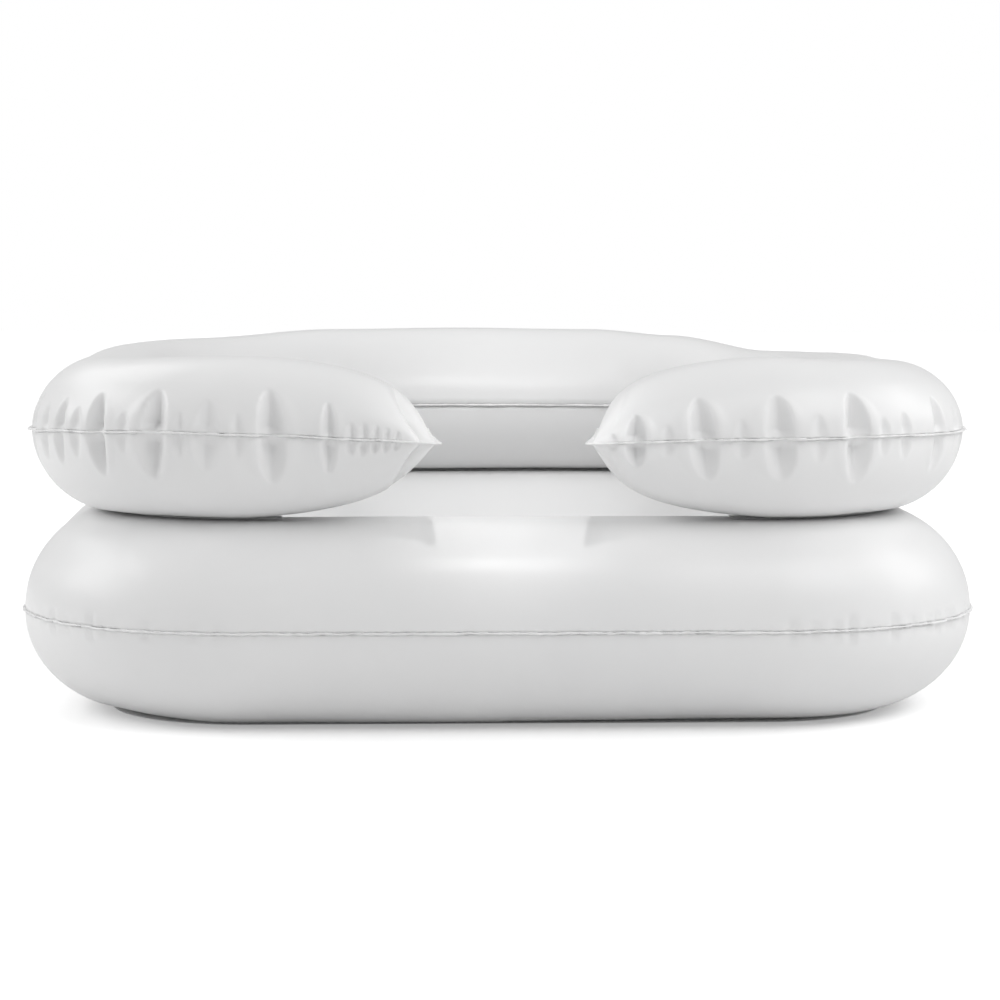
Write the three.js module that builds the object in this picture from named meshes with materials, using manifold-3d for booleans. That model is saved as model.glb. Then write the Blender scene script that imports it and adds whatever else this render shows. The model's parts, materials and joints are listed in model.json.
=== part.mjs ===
// A two-tier inflatable camp pillow and washing basin: a closed base ring with a floor, a C-shaped
// collar on top with a gap for the neck, and a small head pad inside. Every air chamber is two
// films welded along their edges, and each chamber has its own push-in valve. The floor has a drain.
// Millimetres, +Z up, front (the neck gap) towards -Y, origin on the ground under the middle.

import * as THREE from "three";
import { mergeVertices } from "three/addons/utils/BufferGeometryUtils.js";
import Module from "manifold-3d";

const wasm = await Module();
wasm.setup();

// ---------- driving dimensions ----------

const filmThickness = 0.4; // PVC film of every chamber
const weldGap = 0.4; // between the two films of a chamber where they are welded
const seat = 0.3; // between two pieces that rest on each other

const base = {
  width: 600,
  depth: 500,
  halfWidth: 66, // of the inflated tube
  halfHeight: 62,
  innerFrontCorner: 10, // plan radius at the inner seam
  innerBackCorner: 74,
  flange: 2.5, // weld that stands out of each seam
  cornerSteps: 8,
};

const collar = {
  sideShift: 9, // its centre line lies this far outside the base ring's
  frontShift: 0,
  backShift: 5,
  halfWidth: 52,
  halfHeight: 49,
  innerFrontCorner: 32,
  innerBackCorner: 100,
  flange: 3.5,
  gap: 84, // between the two tips, for the neck
  taper: 112, // length over which an arm swells from its flat end to full height
  swellLength: 45, // the arm swells fast at first and then levels off
  swellPower: 0.6,
  endFlare: 13, // how much wider than the tube each side of the flat end is
  endPull: 6, // how far the middle of a flat end is drawn in
  endSlant: 14, // how much wider than the gap the space between the inner corners is, each side
  cornerSteps: 8,
};

const tierGap = 1; // between the flats of the two tubes
const tierBand = { halfWidth: 9, endInset: 95 }; // weld strip that joins the tiers

const floorSheet = { thickness: 0.5, weldWidth: 24 };

const pad = {
  sideRoom: 55, // from each side of the pad to the base ring's inner seam
  frontRoom: 7,
  backRoom: 83, // leaves space for the drain
  height: 50,
  corner: 40,
  flange: 3,
  valveWidth: 28, // straight stretch kept at the middle of each side
};

const valve = {
  stemRadius: 6,
  stemWall: 2,
  runningGap: 0.3, // round the stem
  neckWall: 2.3,
  neckHeight: 2,
  flangeReach: 3.2, // beyond the neck
  flangeThickness: 1,
  lipReach: 1.4, // beyond the stem, at its inner end
  lipThickness: 1,
  beadReach: 1, // beyond the stem, at its mouth
  beadThickness: 1,
  travel: 7,
  holeGap: 0.6, // between the lip and the hole in the film
  capReach: 1.6, // beyond the stem
  capThickness: 1.6,
  plugLength: 4.5,
  plugTopGap: 0.2,
  plugTaper: 0.7,
  strapReach: 3.4, // from the cap's rim to its hinge
  strapWidth: 4,
  strapThickness: 1,
  tabReach: 3,
  flapReach: 1, // beyond the bore
  flapThickness: 0.5,
  flapTailReach: 0.6, // from the flap's rim to its hinge
  flapTailWidth: 4,
  steps: 24,
};

const drain = {
  backRoom: 38, // from its axis to the base ring's inner seam
  boreRadius: 10.2,
  socketWall: 2.8,
  socketHeight: 6,
  flangeReach: 7, // beyond the socket
  flangeThickness: 1.5,
  capReach: 1.5, // beyond the socket
  capThickness: 2,
  plugLength: 5,
  plugTopGap: 0.3,
  plugTaper: 0.5,
  strapReach: 3.5, // from the cap's rim to its hinge
  strapWidth: 8,
  strapThickness: 1.4,
  tabWidth: 12,
  tabHeight: 7,
  tabThickness: 2.4,
  steps: 28,
};

// A half section's corners, in degrees from the outer seam over the crown to the inner seam.
// The crown is one flat facet, as where a tube presses on the floor or on the other tube.
const sectionAngles = [0, 20, 50, 75, 105, 130, 160, 180];
const crownAngle = 75;
const valveFacet = 1; // the facet between 20 and 50 degrees carries the valve

// ---------- colours ----------

const filmLook = { color: 0xe9eaea, roughness: 0.32, metalness: 0 };
const clearLook = { color: 0xdfe2e3, roughness: 0.25, metalness: 0 };
const softLook = { color: 0xd9dcdd, roughness: 0.4, metalness: 0 };

// ---------- placing ----------

const radians = THREE.MathUtils.degToRad;
const crown = Math.sin(radians(crownAngle));

base.bottom = floorSheet.thickness + seat;
base.centreZ = base.bottom + base.halfHeight;
base.top = base.centreZ + base.halfHeight;
base.centreWidth = base.width / 2 - base.halfWidth;
base.centreDepth = base.depth / 2 - base.halfWidth;

collar.centreZ = base.top + tierGap + collar.halfHeight;

// The well inside the base ring, between its inner seams.
const well = {
  width: base.width - 4 * base.halfWidth,
  depth: base.depth - 4 * base.halfWidth,
};

pad.width = well.width - 2 * (pad.sideRoom + pad.flange);
pad.depth = well.depth - pad.frontRoom - pad.backRoom - 2 * pad.flange;
pad.centreY = (pad.frontRoom - pad.backRoom) / 2;
drain.y = well.depth / 2 - drain.backRoom;

valve.boreRadius = valve.stemRadius - valve.stemWall;
valve.lipRadius = valve.stemRadius + valve.lipReach;
valve.beadRadius = valve.stemRadius + valve.beadReach;
valve.neckRadius = valve.stemRadius + valve.runningGap + valve.neckWall;
valve.flangeRadius = valve.neckRadius + valve.flangeReach;
valve.capRadius = valve.stemRadius + valve.capReach;
valve.hingeReach = valve.capRadius + valve.strapReach;
valve.flapRadius = valve.boreRadius + valve.flapReach;
valve.flapHingeReach = valve.flapRadius + valve.flapTailReach;

drain.socketRadius = drain.boreRadius + drain.socketWall;
drain.flangeRadius = drain.socketRadius + drain.flangeReach;
drain.capRadius = drain.socketRadius + drain.capReach;
drain.hingeReach = drain.capRadius + drain.strapReach;

pad.bottom = floorSheet.thickness + seat;
pad.centreZ = pad.bottom + pad.height / 2;

// Stations round a closed plan line with round corners, anticlockwise from the middle of the
// front. Each has a point and its outward direction.
function planStations(halfWidth, front, back, frontRadius, backRadius, cornerSteps) {
  const corners = [
    { x: 1, y: front + frontRadius, radius: frontRadius, from: -90 },
    { x: 1, y: back - backRadius, radius: backRadius, from: 0 },
    { x: -1, y: back - backRadius, radius: backRadius, from: 90 },
    { x: -1, y: front + frontRadius, radius: frontRadius, from: 180 },
  ];
  const stations = [{ x: 0, y: front, outX: 0, outY: -1 }];
  corners.forEach((corner) => {
    for (let k = 0; k <= cornerSteps; k++) {
      const angle = radians(corner.from + (90 * k) / cornerSteps);
      const outX = Math.cos(angle);
      const outY = Math.sin(angle);
      const x = corner.x * (halfWidth - corner.radius) + corner.radius * outX;
      stations.push({ x, y: corner.y + corner.radius * outY, outX, outY });
    }
  });
  return stations;
}

// The centre lines of the two tubes.
const baseStations = planStations(
  base.centreWidth,
  -base.centreDepth,
  base.centreDepth,
  base.innerFrontCorner + base.halfWidth,
  base.innerBackCorner + base.halfWidth,
  base.cornerSteps,
).map((station) => ({
  ...station,
  halfWidth: base.halfWidth,
  halfHeight: base.halfHeight,
  bow: 0,
  slant: 0,
  side: 0,
}));

const collarLine = planStations(
  base.centreWidth + collar.sideShift,
  -base.centreDepth - collar.frontShift,
  base.centreDepth + collar.backShift,
  collar.innerFrontCorner + collar.halfWidth,
  collar.innerBackCorner + collar.halfWidth,
  collar.cornerSteps,
);

// An arm keeps part of its girth towards its flat end, so it widens in plan as it loses height.
// from is how far a station lies from the arm's flat end.
function armShape(from) {
  const swell = (length) => (1 - Math.exp(-length / collar.swellLength)) ** collar.swellPower;
  const reach = THREE.MathUtils.clamp(from, 0, collar.taper);
  const rise = swell(reach) / swell(collar.taper);
  const fade = Math.exp((-4 * reach) / collar.taper) - Math.exp(-4) * (reach / collar.taper);
  return {
    halfWidth: collar.halfWidth + collar.endFlare * fade,
    halfHeight: collar.halfHeight * rise,
    bow: collar.endPull * fade,
    slant: (collar.endSlant / 2) * fade,
  };
}

// The collar's stations, from the tip on the right round the back to the tip on the left.
function collarStations() {
  const first = collar.gap / 2 + collar.flange;
  const places = [0, 0.02, 0.06, 0.13, 0.24, 0.4, 0.65, 1].map((share) => share * collar.taper);
  const arm = (side) =>
    [-collar.flange, ...places].map((from) => ({
      ...collarLine[0],
      ...armShape(from),
      x: side * (first + from),
      side,
    }));
  const full = { ...armShape(collar.taper), side: 0 };
  const round = collarLine.slice(1).map((station) => ({ ...station, ...full }));
  return [...arm(1), ...round, ...arm(-1).reverse()];
}

// ---------- solids ----------

function solidOf(geometry) {
  const bare = geometry.index ? geometry.toNonIndexed() : geometry.clone();
  bare.deleteAttribute("normal");
  bare.deleteAttribute("uv");
  const merged = mergeVertices(bare, 1e-4);
  return new wasm.Manifold(
    new wasm.Mesh({
      numProp: 3,
      vertProperties: merged.attributes.position.array,
      triVerts: new Uint32Array(merged.index.array),
    }),
  );
}

function geometryOf(solid) {
  const mesh = solid.getMesh();
  const positions = new Float32Array(mesh.numVert * 3);
  for (let i = 0; i < mesh.numVert; i++)
    for (let k = 0; k < 3; k++)
      positions[3 * i + k] = mesh.vertProperties[mesh.numProp * i + k];
  return new THREE.BufferGeometry()
    .setAttribute("position", new THREE.BufferAttribute(positions, 3))
    .setIndex(new THREE.BufferAttribute(mesh.triVerts, 1));
}

function meshOf(name, geometry, look) {
  const mesh = new THREE.Mesh(geometry, new THREE.MeshStandardMaterial(look));
  mesh.name = name;
  return mesh;
}

// A closed surface over loops of points. The loops join up in a ring, or both ends are capped.
function loftGeometry(loops, ring) {
  const size = loops[0].length;
  const index = [];
  const spans = ring ? loops.length : loops.length - 1;
  for (let i = 0; i < spans; i++)
    for (let j = 0; j < size; j++) {
      const next = (i + 1) % loops.length;
      const a = i * size + j;
      const b = i * size + ((j + 1) % size);
      const c = next * size + ((j + 1) % size);
      const d = next * size + j;
      index.push(a, b, c, a, c, d);
    }
  if (!ring) {
    const last = (loops.length - 1) * size;
    for (let j = 0; j < size / 2 - 1; j++) {
      const a = j;
      const b = j + 1;
      const c = size - 2 - j;
      const d = size - 1 - j;
      index.push(a, c, b, a, d, c, last + a, last + b, last + c, last + a, last + c, last + d);
    }
  }
  const positions = new Float32Array(loops.flat(2));
  const geometry = new THREE.BufferGeometry()
    .setAttribute("position", new THREE.BufferAttribute(positions, 3))
    .setIndex(index);
  return outward(geometry);
}

// Turns a closed geometry's faces out, if they point in.
function outward(geometry) {
  const p = geometry.attributes.position;
  const index = geometry.index.array;
  const a = new THREE.Vector3();
  const b = new THREE.Vector3();
  const c = new THREE.Vector3();
  let volume = 0;
  for (let i = 0; i < index.length; i += 3) {
    a.fromBufferAttribute(p, index[i]);
    b.fromBufferAttribute(p, index[i + 1]);
    c.fromBufferAttribute(p, index[i + 2]);
    volume += a.dot(b.cross(c));
  }
  if (volume < 0)
    for (let i = 0; i < index.length; i += 3)
      [index[i + 1], index[i + 2]] = [index[i + 2], index[i + 1]];
  return geometry;
}

// One film of a tube: half a hollow tube with a weld flange along each seam.
// side is 1 for the upper film and -1 for the lower one.
function tubeFilm(stations, centreZ, flange, side, ring) {
  const halfGap = weldGap / 2;
  const loops = stations.map((station) => {
    const rise = Math.max(station.halfHeight - halfGap - filmThickness, 0) / crown;
    const arch = (inset, lift) =>
      sectionAngles.map((angle) => [
        (station.halfWidth - inset) * Math.cos(radians(angle)),
        lift + Math.min(rise * Math.sin(radians(angle)), rise * crown),
      ]);
    const edge = station.halfWidth + flange;
    const outer = arch(0, halfGap + filmThickness);
    const inner = arch(filmThickness, halfGap);
    const section = [
      [edge, halfGap + filmThickness],
      ...outer,
      [-edge, halfGap + filmThickness],
      [-edge, halfGap],
      ...inner.reverse(),
      [edge, halfGap],
    ];
    return section.map(([across, up]) => {
      const share = across / edge;
      const back = station.bow * (1 - share ** 2) + station.slant * (1 - share);
      return [
        station.x + station.outX * across + station.side * back,
        station.y + station.outY * across,
        centreZ + side * up,
      ];
    });
  });
  return loftGeometry(loops, ring);
}

// The middle of the facet that carries a tube's valve, at the back of the tube.
function tubeValveSeat(centreY, centreZ, tube) {
  const rise = (tube.halfHeight - weldGap / 2 - filmThickness) / crown;
  const corner = (k) => {
    const angle = radians(sectionAngles[k]);
    return new THREE.Vector2(
      centreY + tube.halfWidth * Math.cos(angle),
      centreZ + weldGap / 2 + filmThickness + rise * Math.sin(angle),
    );
  };
  return facetSeat(corner(valveFacet), corner(valveFacet + 1));
}

// A valve's seat on a facet that runs along X between two corners given as (y, z).
function facetSeat(low, high) {
  const along = high.clone().sub(low);
  return {
    y: (low.x + high.x) / 2,
    z: (low.y + high.y) / 2,
    tilt: Math.atan2(along.y, -along.x), // 0 on a level facet, a quarter turn on an upright one
  };
}

// ---------- head pad ----------

// Rings of the pad's dome, as shares of its plan size and of its height.
const padRings = [
  { size: 1, rise: 0 },
  { size: 0.93, rise: 0.42 },
  { size: 0.72, rise: 0.84 },
  { size: 0.4, rise: 1 },
];
const padValveRing = 1; // the valve sits between this ring and the next

function padOutline(grow, size) {
  const halfWidth = (pad.width / 2) * size + grow;
  const halfDepth = (pad.depth / 2) * size + grow;
  const straight = pad.valveWidth / 2;
  const radius = Math.min(pad.corner * size + grow, halfWidth - straight, halfDepth - straight);
  const points = [];
  const cornerSteps = 5;
  [
    [1, 1],
    [-1, 1],
    [-1, -1],
    [1, -1],
  ].forEach(([sx, sy], quarter) => {
    for (let k = 0; k <= cornerSteps; k++) {
      const angle = (quarter + k / cornerSteps) * (Math.PI / 2);
      points.push([
        sx * (halfWidth - radius) + radius * Math.cos(angle),
        sy * (halfDepth - radius) + radius * Math.sin(angle),
      ]);
    }
  });
  return points;
}

// One film of the pad, as a dome with a weld flange. side is 1 for the upper film.
function padFilm(side) {
  const halfGap = weldGap / 2;
  const rise = pad.height / 2 - halfGap - filmThickness;
  const skin = (inset, lift) =>
    padRings.map((ring) => ({
      points: padOutline(-inset, ring.size),
      z: lift + rise * ring.rise,
    }));
  const outer = skin(0, halfGap + filmThickness);
  const inner = skin(filmThickness, halfGap);
  const edge = padOutline(pad.flange, 1);
  const rings = [
    ...inner.slice().reverse(),
    { points: edge, z: halfGap },
    { points: edge, z: halfGap + filmThickness },
    ...outer,
  ];
  const loops = rings.map(({ points, z }) =>
    points.map(([x, y]) => [x, y + pad.centreY, pad.centreZ + side * z]),
  );
  return discLoft(loops);
}

// A closed surface over rings of points, with a flat fan over the first ring and over the last.
function discLoft(loops) {
  const size = loops[0].length;
  const index = [];
  for (let i = 0; i < loops.length - 1; i++)
    for (let j = 0; j < size; j++) {
      const a = i * size + j;
      const b = i * size + ((j + 1) % size);
      index.push(a, b, b + size, a, b + size, a + size);
    }
  const last = (loops.length - 1) * size;
  for (let j = 1; j < size - 1; j++) {
    index.push(0, j + 1, j, last, last + j, last + j + 1);
  }
  const positions = new Float32Array(loops.flat(2));
  return outward(
    new THREE.BufferGeometry()
      .setAttribute("position", new THREE.BufferAttribute(positions, 3))
      .setIndex(index),
  );
}

function padValveSeat() {
  const rise = pad.height / 2 - weldGap / 2 - filmThickness;
  const corner = ({ size, rise: share }) =>
    new THREE.Vector2(
      pad.centreY + (pad.depth / 2) * size,
      pad.centreZ + weldGap / 2 + filmThickness + rise * share,
    );
  return facetSeat(corner(padRings[padValveRing]), corner(padRings[padValveRing + 1]));
}

// ---------- valves ----------

const lathe = (profile, steps) =>
  new THREE.LatheGeometry(
    profile.map(([r, z]) => new THREE.Vector2(r, z)),
    steps,
  ).rotateX(Math.PI / 2);

const block = (width, depth, height, x, y, z) =>
  new THREE.BoxGeometry(width, depth, height).translate(x, y, z);

// In a valve's own frame z is out of the film, z 0 is the film's face, and -y is its upper side.
const valvePlaces = (() => {
  const flangeTop = seat + valve.flangeThickness;
  const neckTop = flangeTop + valve.neckHeight - valve.flangeThickness;
  const beadLow = neckTop + seat;
  const rim = beadLow + valve.beadThickness;
  const lipTop = seat - valve.runningGap - valve.travel;
  const foot = lipTop - valve.lipThickness;
  return { flangeTop, neckTop, beadLow, rim, lipTop, foot, hinge: rim + seat / 2 };
})();

function valveFlange() {
  const bore = valve.stemRadius + valve.runningGap;
  return lathe(
    [
      [bore, seat],
      [valve.flangeRadius, seat],
      [valve.flangeRadius, valvePlaces.flangeTop],
      [valve.neckRadius, valvePlaces.flangeTop],
      [valve.neckRadius, valvePlaces.neckTop],
      [bore, valvePlaces.neckTop],
      [bore, seat],
    ],
    valve.steps,
  );
}

function valveStem() {
  const { beadLow, rim, lipTop, foot, hinge } = valvePlaces;
  const tube = lathe(
    [
      [valve.boreRadius, foot],
      [valve.lipRadius, foot],
      [valve.lipRadius, lipTop],
      [valve.stemRadius, lipTop],
      [valve.stemRadius, beadLow],
      [valve.beadRadius, beadLow],
      [valve.beadRadius, rim],
      [valve.boreRadius, rim],
      [valve.boreRadius, foot],
    ],
    valve.steps,
  );
  const inner = (valve.boreRadius + valve.beadRadius) / 2;
  const lugLength = valve.hingeReach - seat / 2 - inner;
  const lug = block(
    valve.strapWidth,
    lugLength,
    rim - beadLow,
    0,
    -inner - lugLength / 2,
    (rim + beadLow) / 2,
  );
  return geometryOf(solidOf(tube).add(solidOf(lug)));
}

// A stopper whose plug narrows, so that it swings out of its bore about the strap's hinge.
function hingedStopper(size, rim, boreRadius, hingeSide, tab) {
  const under = rim + seat;
  const top = under + size.capThickness;
  const plugTop = boreRadius - size.plugTopGap;
  const plugFoot = under - size.plugLength;
  const stopper = lathe(
    [
      [0, plugFoot],
      [plugTop - size.plugTaper, plugFoot],
      [plugTop, under],
      [size.capRadius, under],
      [size.capRadius, top],
      [0, top],
    ],
    size.steps,
  );
  const inner = size.capRadius - seat;
  const strapLength = size.hingeReach - inner + seat;
  const strap = block(
    size.strapWidth,
    strapLength,
    size.strapThickness,
    0,
    hingeSide * (inner + strapLength / 2 - seat / 2),
    under + size.strapThickness / 2,
  );
  return geometryOf(solidOf(stopper).add(solidOf(strap)).add(solidOf(tab(under, top))));
}

function valveCap() {
  const tab = (under, top) =>
    block(
      valve.strapWidth,
      valve.tabReach + 1,
      (top - under) / 2,
      0,
      valve.capRadius + (valve.tabReach - 1) / 2,
      under + (top - under) / 4,
    );
  return hingedStopper(valve, valvePlaces.rim, valve.boreRadius, -1, tab);
}

function valveFlap() {
  const top = valvePlaces.foot - seat;
  const disc = lathe(
    [
      [0, top - valve.flapThickness],
      [valve.flapRadius, top - valve.flapThickness],
      [valve.flapRadius, top],
      [0, top],
    ],
    valve.steps,
  );
  const inner = valve.flapRadius - 1;
  const tailLength = valve.flapHingeReach - inner;
  const tail = block(
    valve.flapTailWidth,
    tailLength,
    valve.flapThickness,
    0,
    -inner - tailLength / 2,
    top - valve.flapThickness / 2,
  );
  return geometryOf(solidOf(disc).add(solidOf(tail)));
}

// The round tool that cuts a valve's way through a film.
const valveHole = () =>
  new THREE.CylinderGeometry(
    valve.lipRadius + valve.holeGap,
    valve.lipRadius + valve.holeGap,
    valve.travel * 2,
    valve.steps,
  ).rotateX(Math.PI / 2);

function onSeat(object, place) {
  object.position.set(0, place.y, place.z);
  object.rotation.x = -place.tilt;
  return object;
}

function valveGroup(name, place) {
  const group = new THREE.Group();
  group.add(
    meshOf(name + "_valve_flange", valveFlange(), clearLook),
    meshOf(name + "_valve_stem", valveStem(), softLook),
    meshOf(name + "_valve_cap", valveCap(), softLook),
    meshOf(name + "_valve_flap", valveFlap(), clearLook),
  );
  return onSeat(group, place);
}

function cutForValve(film, place) {
  const tool = onSeat(new THREE.Object3D(), place);
  tool.updateMatrix();
  const hole = valveHole().applyMatrix4(tool.matrix);
  return geometryOf(solidOf(film).subtract(solidOf(hole)));
}

// ---------- floor and drain ----------

function floorPlate() {
  const reach = floorSheet.weldWidth / 2;
  const outline = planStations(
    base.centreWidth + reach,
    -base.centreDepth - reach,
    base.centreDepth + reach,
    base.innerFrontCorner + base.halfWidth + reach,
    base.innerBackCorner + base.halfWidth + reach,
    base.cornerSteps,
  );
  const shape = new THREE.Shape(outline.map(({ x, y }) => new THREE.Vector2(x, y)));
  const hole = Array.from({ length: drain.steps }, (_, i) => {
    const angle = (-i / drain.steps) * 2 * Math.PI;
    const x = drain.boreRadius * Math.cos(angle);
    return new THREE.Vector2(x, drain.y + drain.boreRadius * Math.sin(angle));
  });
  shape.holes.push(new THREE.Path(hole));
  return new THREE.ExtrudeGeometry(shape, {
    depth: floorSheet.thickness,
    bevelEnabled: false,
    curveSegments: 1,
  });
}

const drainPlaces = (() => {
  const low = floorSheet.thickness + seat;
  const rim = low + drain.socketHeight;
  return { low, rim, hinge: rim + seat / 2 };
})();

function drainSocket() {
  const { low, rim } = drainPlaces;
  const flangeTop = low + drain.flangeThickness;
  const ring = lathe(
    [
      [drain.boreRadius, low],
      [drain.flangeRadius, low],
      [drain.flangeRadius, flangeTop],
      [drain.socketRadius, flangeTop],
      [drain.socketRadius, rim],
      [drain.boreRadius, rim],
      [drain.boreRadius, low],
    ],
    drain.steps,
  );
  const inner = (drain.boreRadius + drain.socketRadius) / 2;
  const lugLength = drain.hingeReach - seat / 2 - inner;
  const lug = block(
    drain.strapWidth,
    lugLength,
    drain.strapThickness,
    0,
    inner + lugLength / 2,
    rim - drain.strapThickness / 2,
  );
  return geometryOf(solidOf(ring).add(solidOf(lug))).translate(0, drain.y, 0);
}

function drainStopper() {
  const tab = (under, top) =>
    block(
      drain.tabWidth,
      drain.tabThickness,
      drain.tabHeight + 1,
      0,
      -drain.capRadius / 2,
      top + (drain.tabHeight - 1) / 2,
    );
  const stopper = hingedStopper(drain, drainPlaces.rim, drain.boreRadius, 1, tab);
  return stopper.translate(0, drain.y, 0);
}

// ---------- strip between the tiers ----------

function tierStrip() {
  const low = base.top + seat;
  const high = base.top + tierGap - seat;
  const start = collar.gap / 2 + tierBand.endInset;
  const front = collarLine[0];
  const stations = [{ ...front, x: start }, ...collarLine.slice(1), { ...front, x: -start }];
  const loops = stations.map(({ x, y, outX, outY }) => {
    const inward = (Math.abs(outX) * collar.sideShift) / 2;
    return [
      [tierBand.halfWidth - inward, low],
      [tierBand.halfWidth - inward, high],
      [-tierBand.halfWidth - inward, high],
      [-tierBand.halfWidth - inward, low],
    ].map(([across, z]) => [x + outX * across, y + outY * across, z]);
  });
  return loftGeometry(loops, false);
}

// ---------- assembly ----------

const part = new THREE.Group();

const baseValveSeat = tubeValveSeat(base.centreDepth, base.centreZ, base);
const collarValveSeat = tubeValveSeat(
  base.centreDepth + collar.backShift,
  collar.centreZ,
  collar,
);
const padSeat = padValveSeat();
const arms = collarStations();

part.add(
  meshOf(
    "base_upper_film",
    cutForValve(tubeFilm(baseStations, base.centreZ, base.flange, 1, true), baseValveSeat),
    filmLook,
  ),
  meshOf(
    "base_lower_film",
    tubeFilm(baseStations, base.centreZ, base.flange, -1, true),
    filmLook,
  ),
  meshOf(
    "collar_upper_film",
    cutForValve(tubeFilm(arms, collar.centreZ, collar.flange, 1, false), collarValveSeat),
    filmLook,
  ),
  meshOf(
    "collar_lower_film",
    tubeFilm(arms, collar.centreZ, collar.flange, -1, false),
    filmLook,
  ),
  meshOf("tier_weld_strip", tierStrip(), filmLook),
  meshOf("floor_sheet", floorPlate(), filmLook),
  meshOf("head_pad_upper_film", cutForValve(padFilm(1), padSeat), filmLook),
  meshOf("head_pad_lower_film", padFilm(-1), filmLook),
  meshOf("drain_socket", drainSocket(), clearLook),
  meshOf("drain_stopper", drainStopper(), softLook),
  valveGroup("base", baseValveSeat),
  valveGroup("collar", collarValveSeat),
  valveGroup("head_pad", padSeat),
);

export default part;
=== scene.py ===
import json
import math
import bmesh
import bpy
import numpy as np
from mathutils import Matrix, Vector


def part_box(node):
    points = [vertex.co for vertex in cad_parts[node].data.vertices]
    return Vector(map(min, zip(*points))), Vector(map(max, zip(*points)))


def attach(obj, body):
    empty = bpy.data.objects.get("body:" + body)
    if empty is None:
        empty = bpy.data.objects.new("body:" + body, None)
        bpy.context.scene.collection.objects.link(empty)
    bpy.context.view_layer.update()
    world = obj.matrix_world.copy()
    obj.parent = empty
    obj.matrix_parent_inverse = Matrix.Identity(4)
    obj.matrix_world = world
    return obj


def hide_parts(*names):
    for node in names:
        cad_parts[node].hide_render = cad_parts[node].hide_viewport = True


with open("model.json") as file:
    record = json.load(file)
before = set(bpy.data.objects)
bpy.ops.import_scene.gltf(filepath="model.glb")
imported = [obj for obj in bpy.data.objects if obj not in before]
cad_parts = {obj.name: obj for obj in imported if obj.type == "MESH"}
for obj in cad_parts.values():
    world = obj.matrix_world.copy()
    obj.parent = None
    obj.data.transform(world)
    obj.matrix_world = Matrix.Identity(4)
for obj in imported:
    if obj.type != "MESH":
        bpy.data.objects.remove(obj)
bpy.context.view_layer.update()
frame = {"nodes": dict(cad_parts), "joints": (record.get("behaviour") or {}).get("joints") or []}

# metres, apart from the tables that say millimetres; z up, the neck gap towards -y


# camera and room

view = {
    "place": (-0.0976, -1.9372, 0.2959),
    "heading": -3.03,  # degrees, anticlockwise from +y
    "tilt": -5.21,
    "roll": -0.21,
    "lens": 104.0,
}

room = {
    "worldColour": (1.0, 1.0, 1.0),
    "lightStrength": 0.44,  # of the white all round, as light
    "seenStrength": 1.0,  # and as the camera sees it
    "floorColour": (0.93, 0.93, 0.93),
    "floorGlow": (0.30, 0.75),  # lifts the floor that the camera sees to the white of the room,
    "glowReach": (0.35, 1.3),  # near the object and far from it
    "floorRoughness": 0.9,
    "floorHalf": 7.0,
    "floorLow": -0.0005,
    "lights": [
        # name, place, aimed at, size, watts
        ("rightBox", (1.56, 0.0, 1.0), (0, 0, 0.1), (1.0, 1.0), 7.5),
        ("leftBox", (-1.56, 0.0, 1.0), (0, 0, 0.1), (1.0, 1.0), 9.5),
        ("backBox", (-0.98, 0.82, 1.37), (0, 0, 0.1), (1.0, 1.0), 5.0),
        ("frontBox", (0.82, -0.98, 1.37), (0, 0, 0.1), (1.0, 1.0), 9.0),
    ],
    "lamps": [
        # name, place, aimed at, degrees, radius, watts: over the arms' ends, and between them
        ("wallLamp", (0.02, -0.85, 0.75), (0.01, 0.16, 0.098), 14.0, 0.04, 10.0),
        ("gapLamp", (0.01, -0.62, 1.15), (0.0, -0.18, 0.12), 9.0, 0.03, 20.0),
    ],
}


def makeCamera():
    data = bpy.data.cameras.new("camera")
    data.lens = view["lens"]
    data.sensor_width = 36
    camera = bpy.data.objects.new("camera", data)
    bpy.context.scene.collection.objects.link(camera)
    camera.location = view["place"]
    camera.rotation_mode = "XYZ"
    camera.rotation_euler = (
        math.radians(90 + view["tilt"]),
        math.radians(view["roll"]),
        math.radians(view["heading"]),
    )
    bpy.context.scene.camera = camera


def makeRoom():
    scene = bpy.context.scene
    world = bpy.data.worlds.new("room")
    world.use_nodes = True
    tree = world.node_tree
    strength = node(
        tree,
        "MapRange",
        {
            "Value": node(tree, "LightPath").outputs["Is Camera Ray"],
            "To Min": room["lightStrength"],
            "To Max": room["seenStrength"],
        },
    )
    background = {"Color": (*room["worldColour"], 1), "Strength": strength.outputs["Result"]}
    feed(tree, tree.nodes["Background"], background)
    scene.world = world
    scene.view_settings.view_transform = "Standard"
    for name, place, aim, size, watts in room["lights"]:
        data = bpy.data.lights.new(name, "AREA")
        data.shape = "RECTANGLE"
        data.size, data.size_y = size
        addLight(data, place, aim, watts)
    for name, place, aim, cone, radius, watts in room["lamps"]:
        data = bpy.data.lights.new(name, "SPOT")
        data.spot_size = math.radians(cone)
        data.spot_blend = 1.0
        data.shadow_soft_size = radius
        addLight(data, place, aim, watts)


def addLight(data, place, aim, watts):
    data.energy = watts
    light = bpy.data.objects.new(data.name, data)
    bpy.context.scene.collection.objects.link(light)
    light.location = place
    light.rotation_mode = "QUATERNION"
    light.rotation_quaternion = (Vector(aim) - Vector(place)).to_track_quat("-Z", "Y")


# node helpers


def feed(tree, target, inputs):
    # sets inputs, by name or number, to values or to the outputs that they hang on
    for key, value in inputs.items():
        if isinstance(value, bpy.types.NodeSocket):
            tree.links.new(value, target.inputs[key])
        else:
            target.inputs[key].default_value = value


def node(tree, kind, inputs=None, **settings):
    made = tree.nodes.new("ShaderNode" + kind)
    made.location.x = 200 * len(tree.nodes)
    for key, value in settings.items():
        setattr(made, key, value)
    feed(tree, made, inputs or {})
    return made


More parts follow.
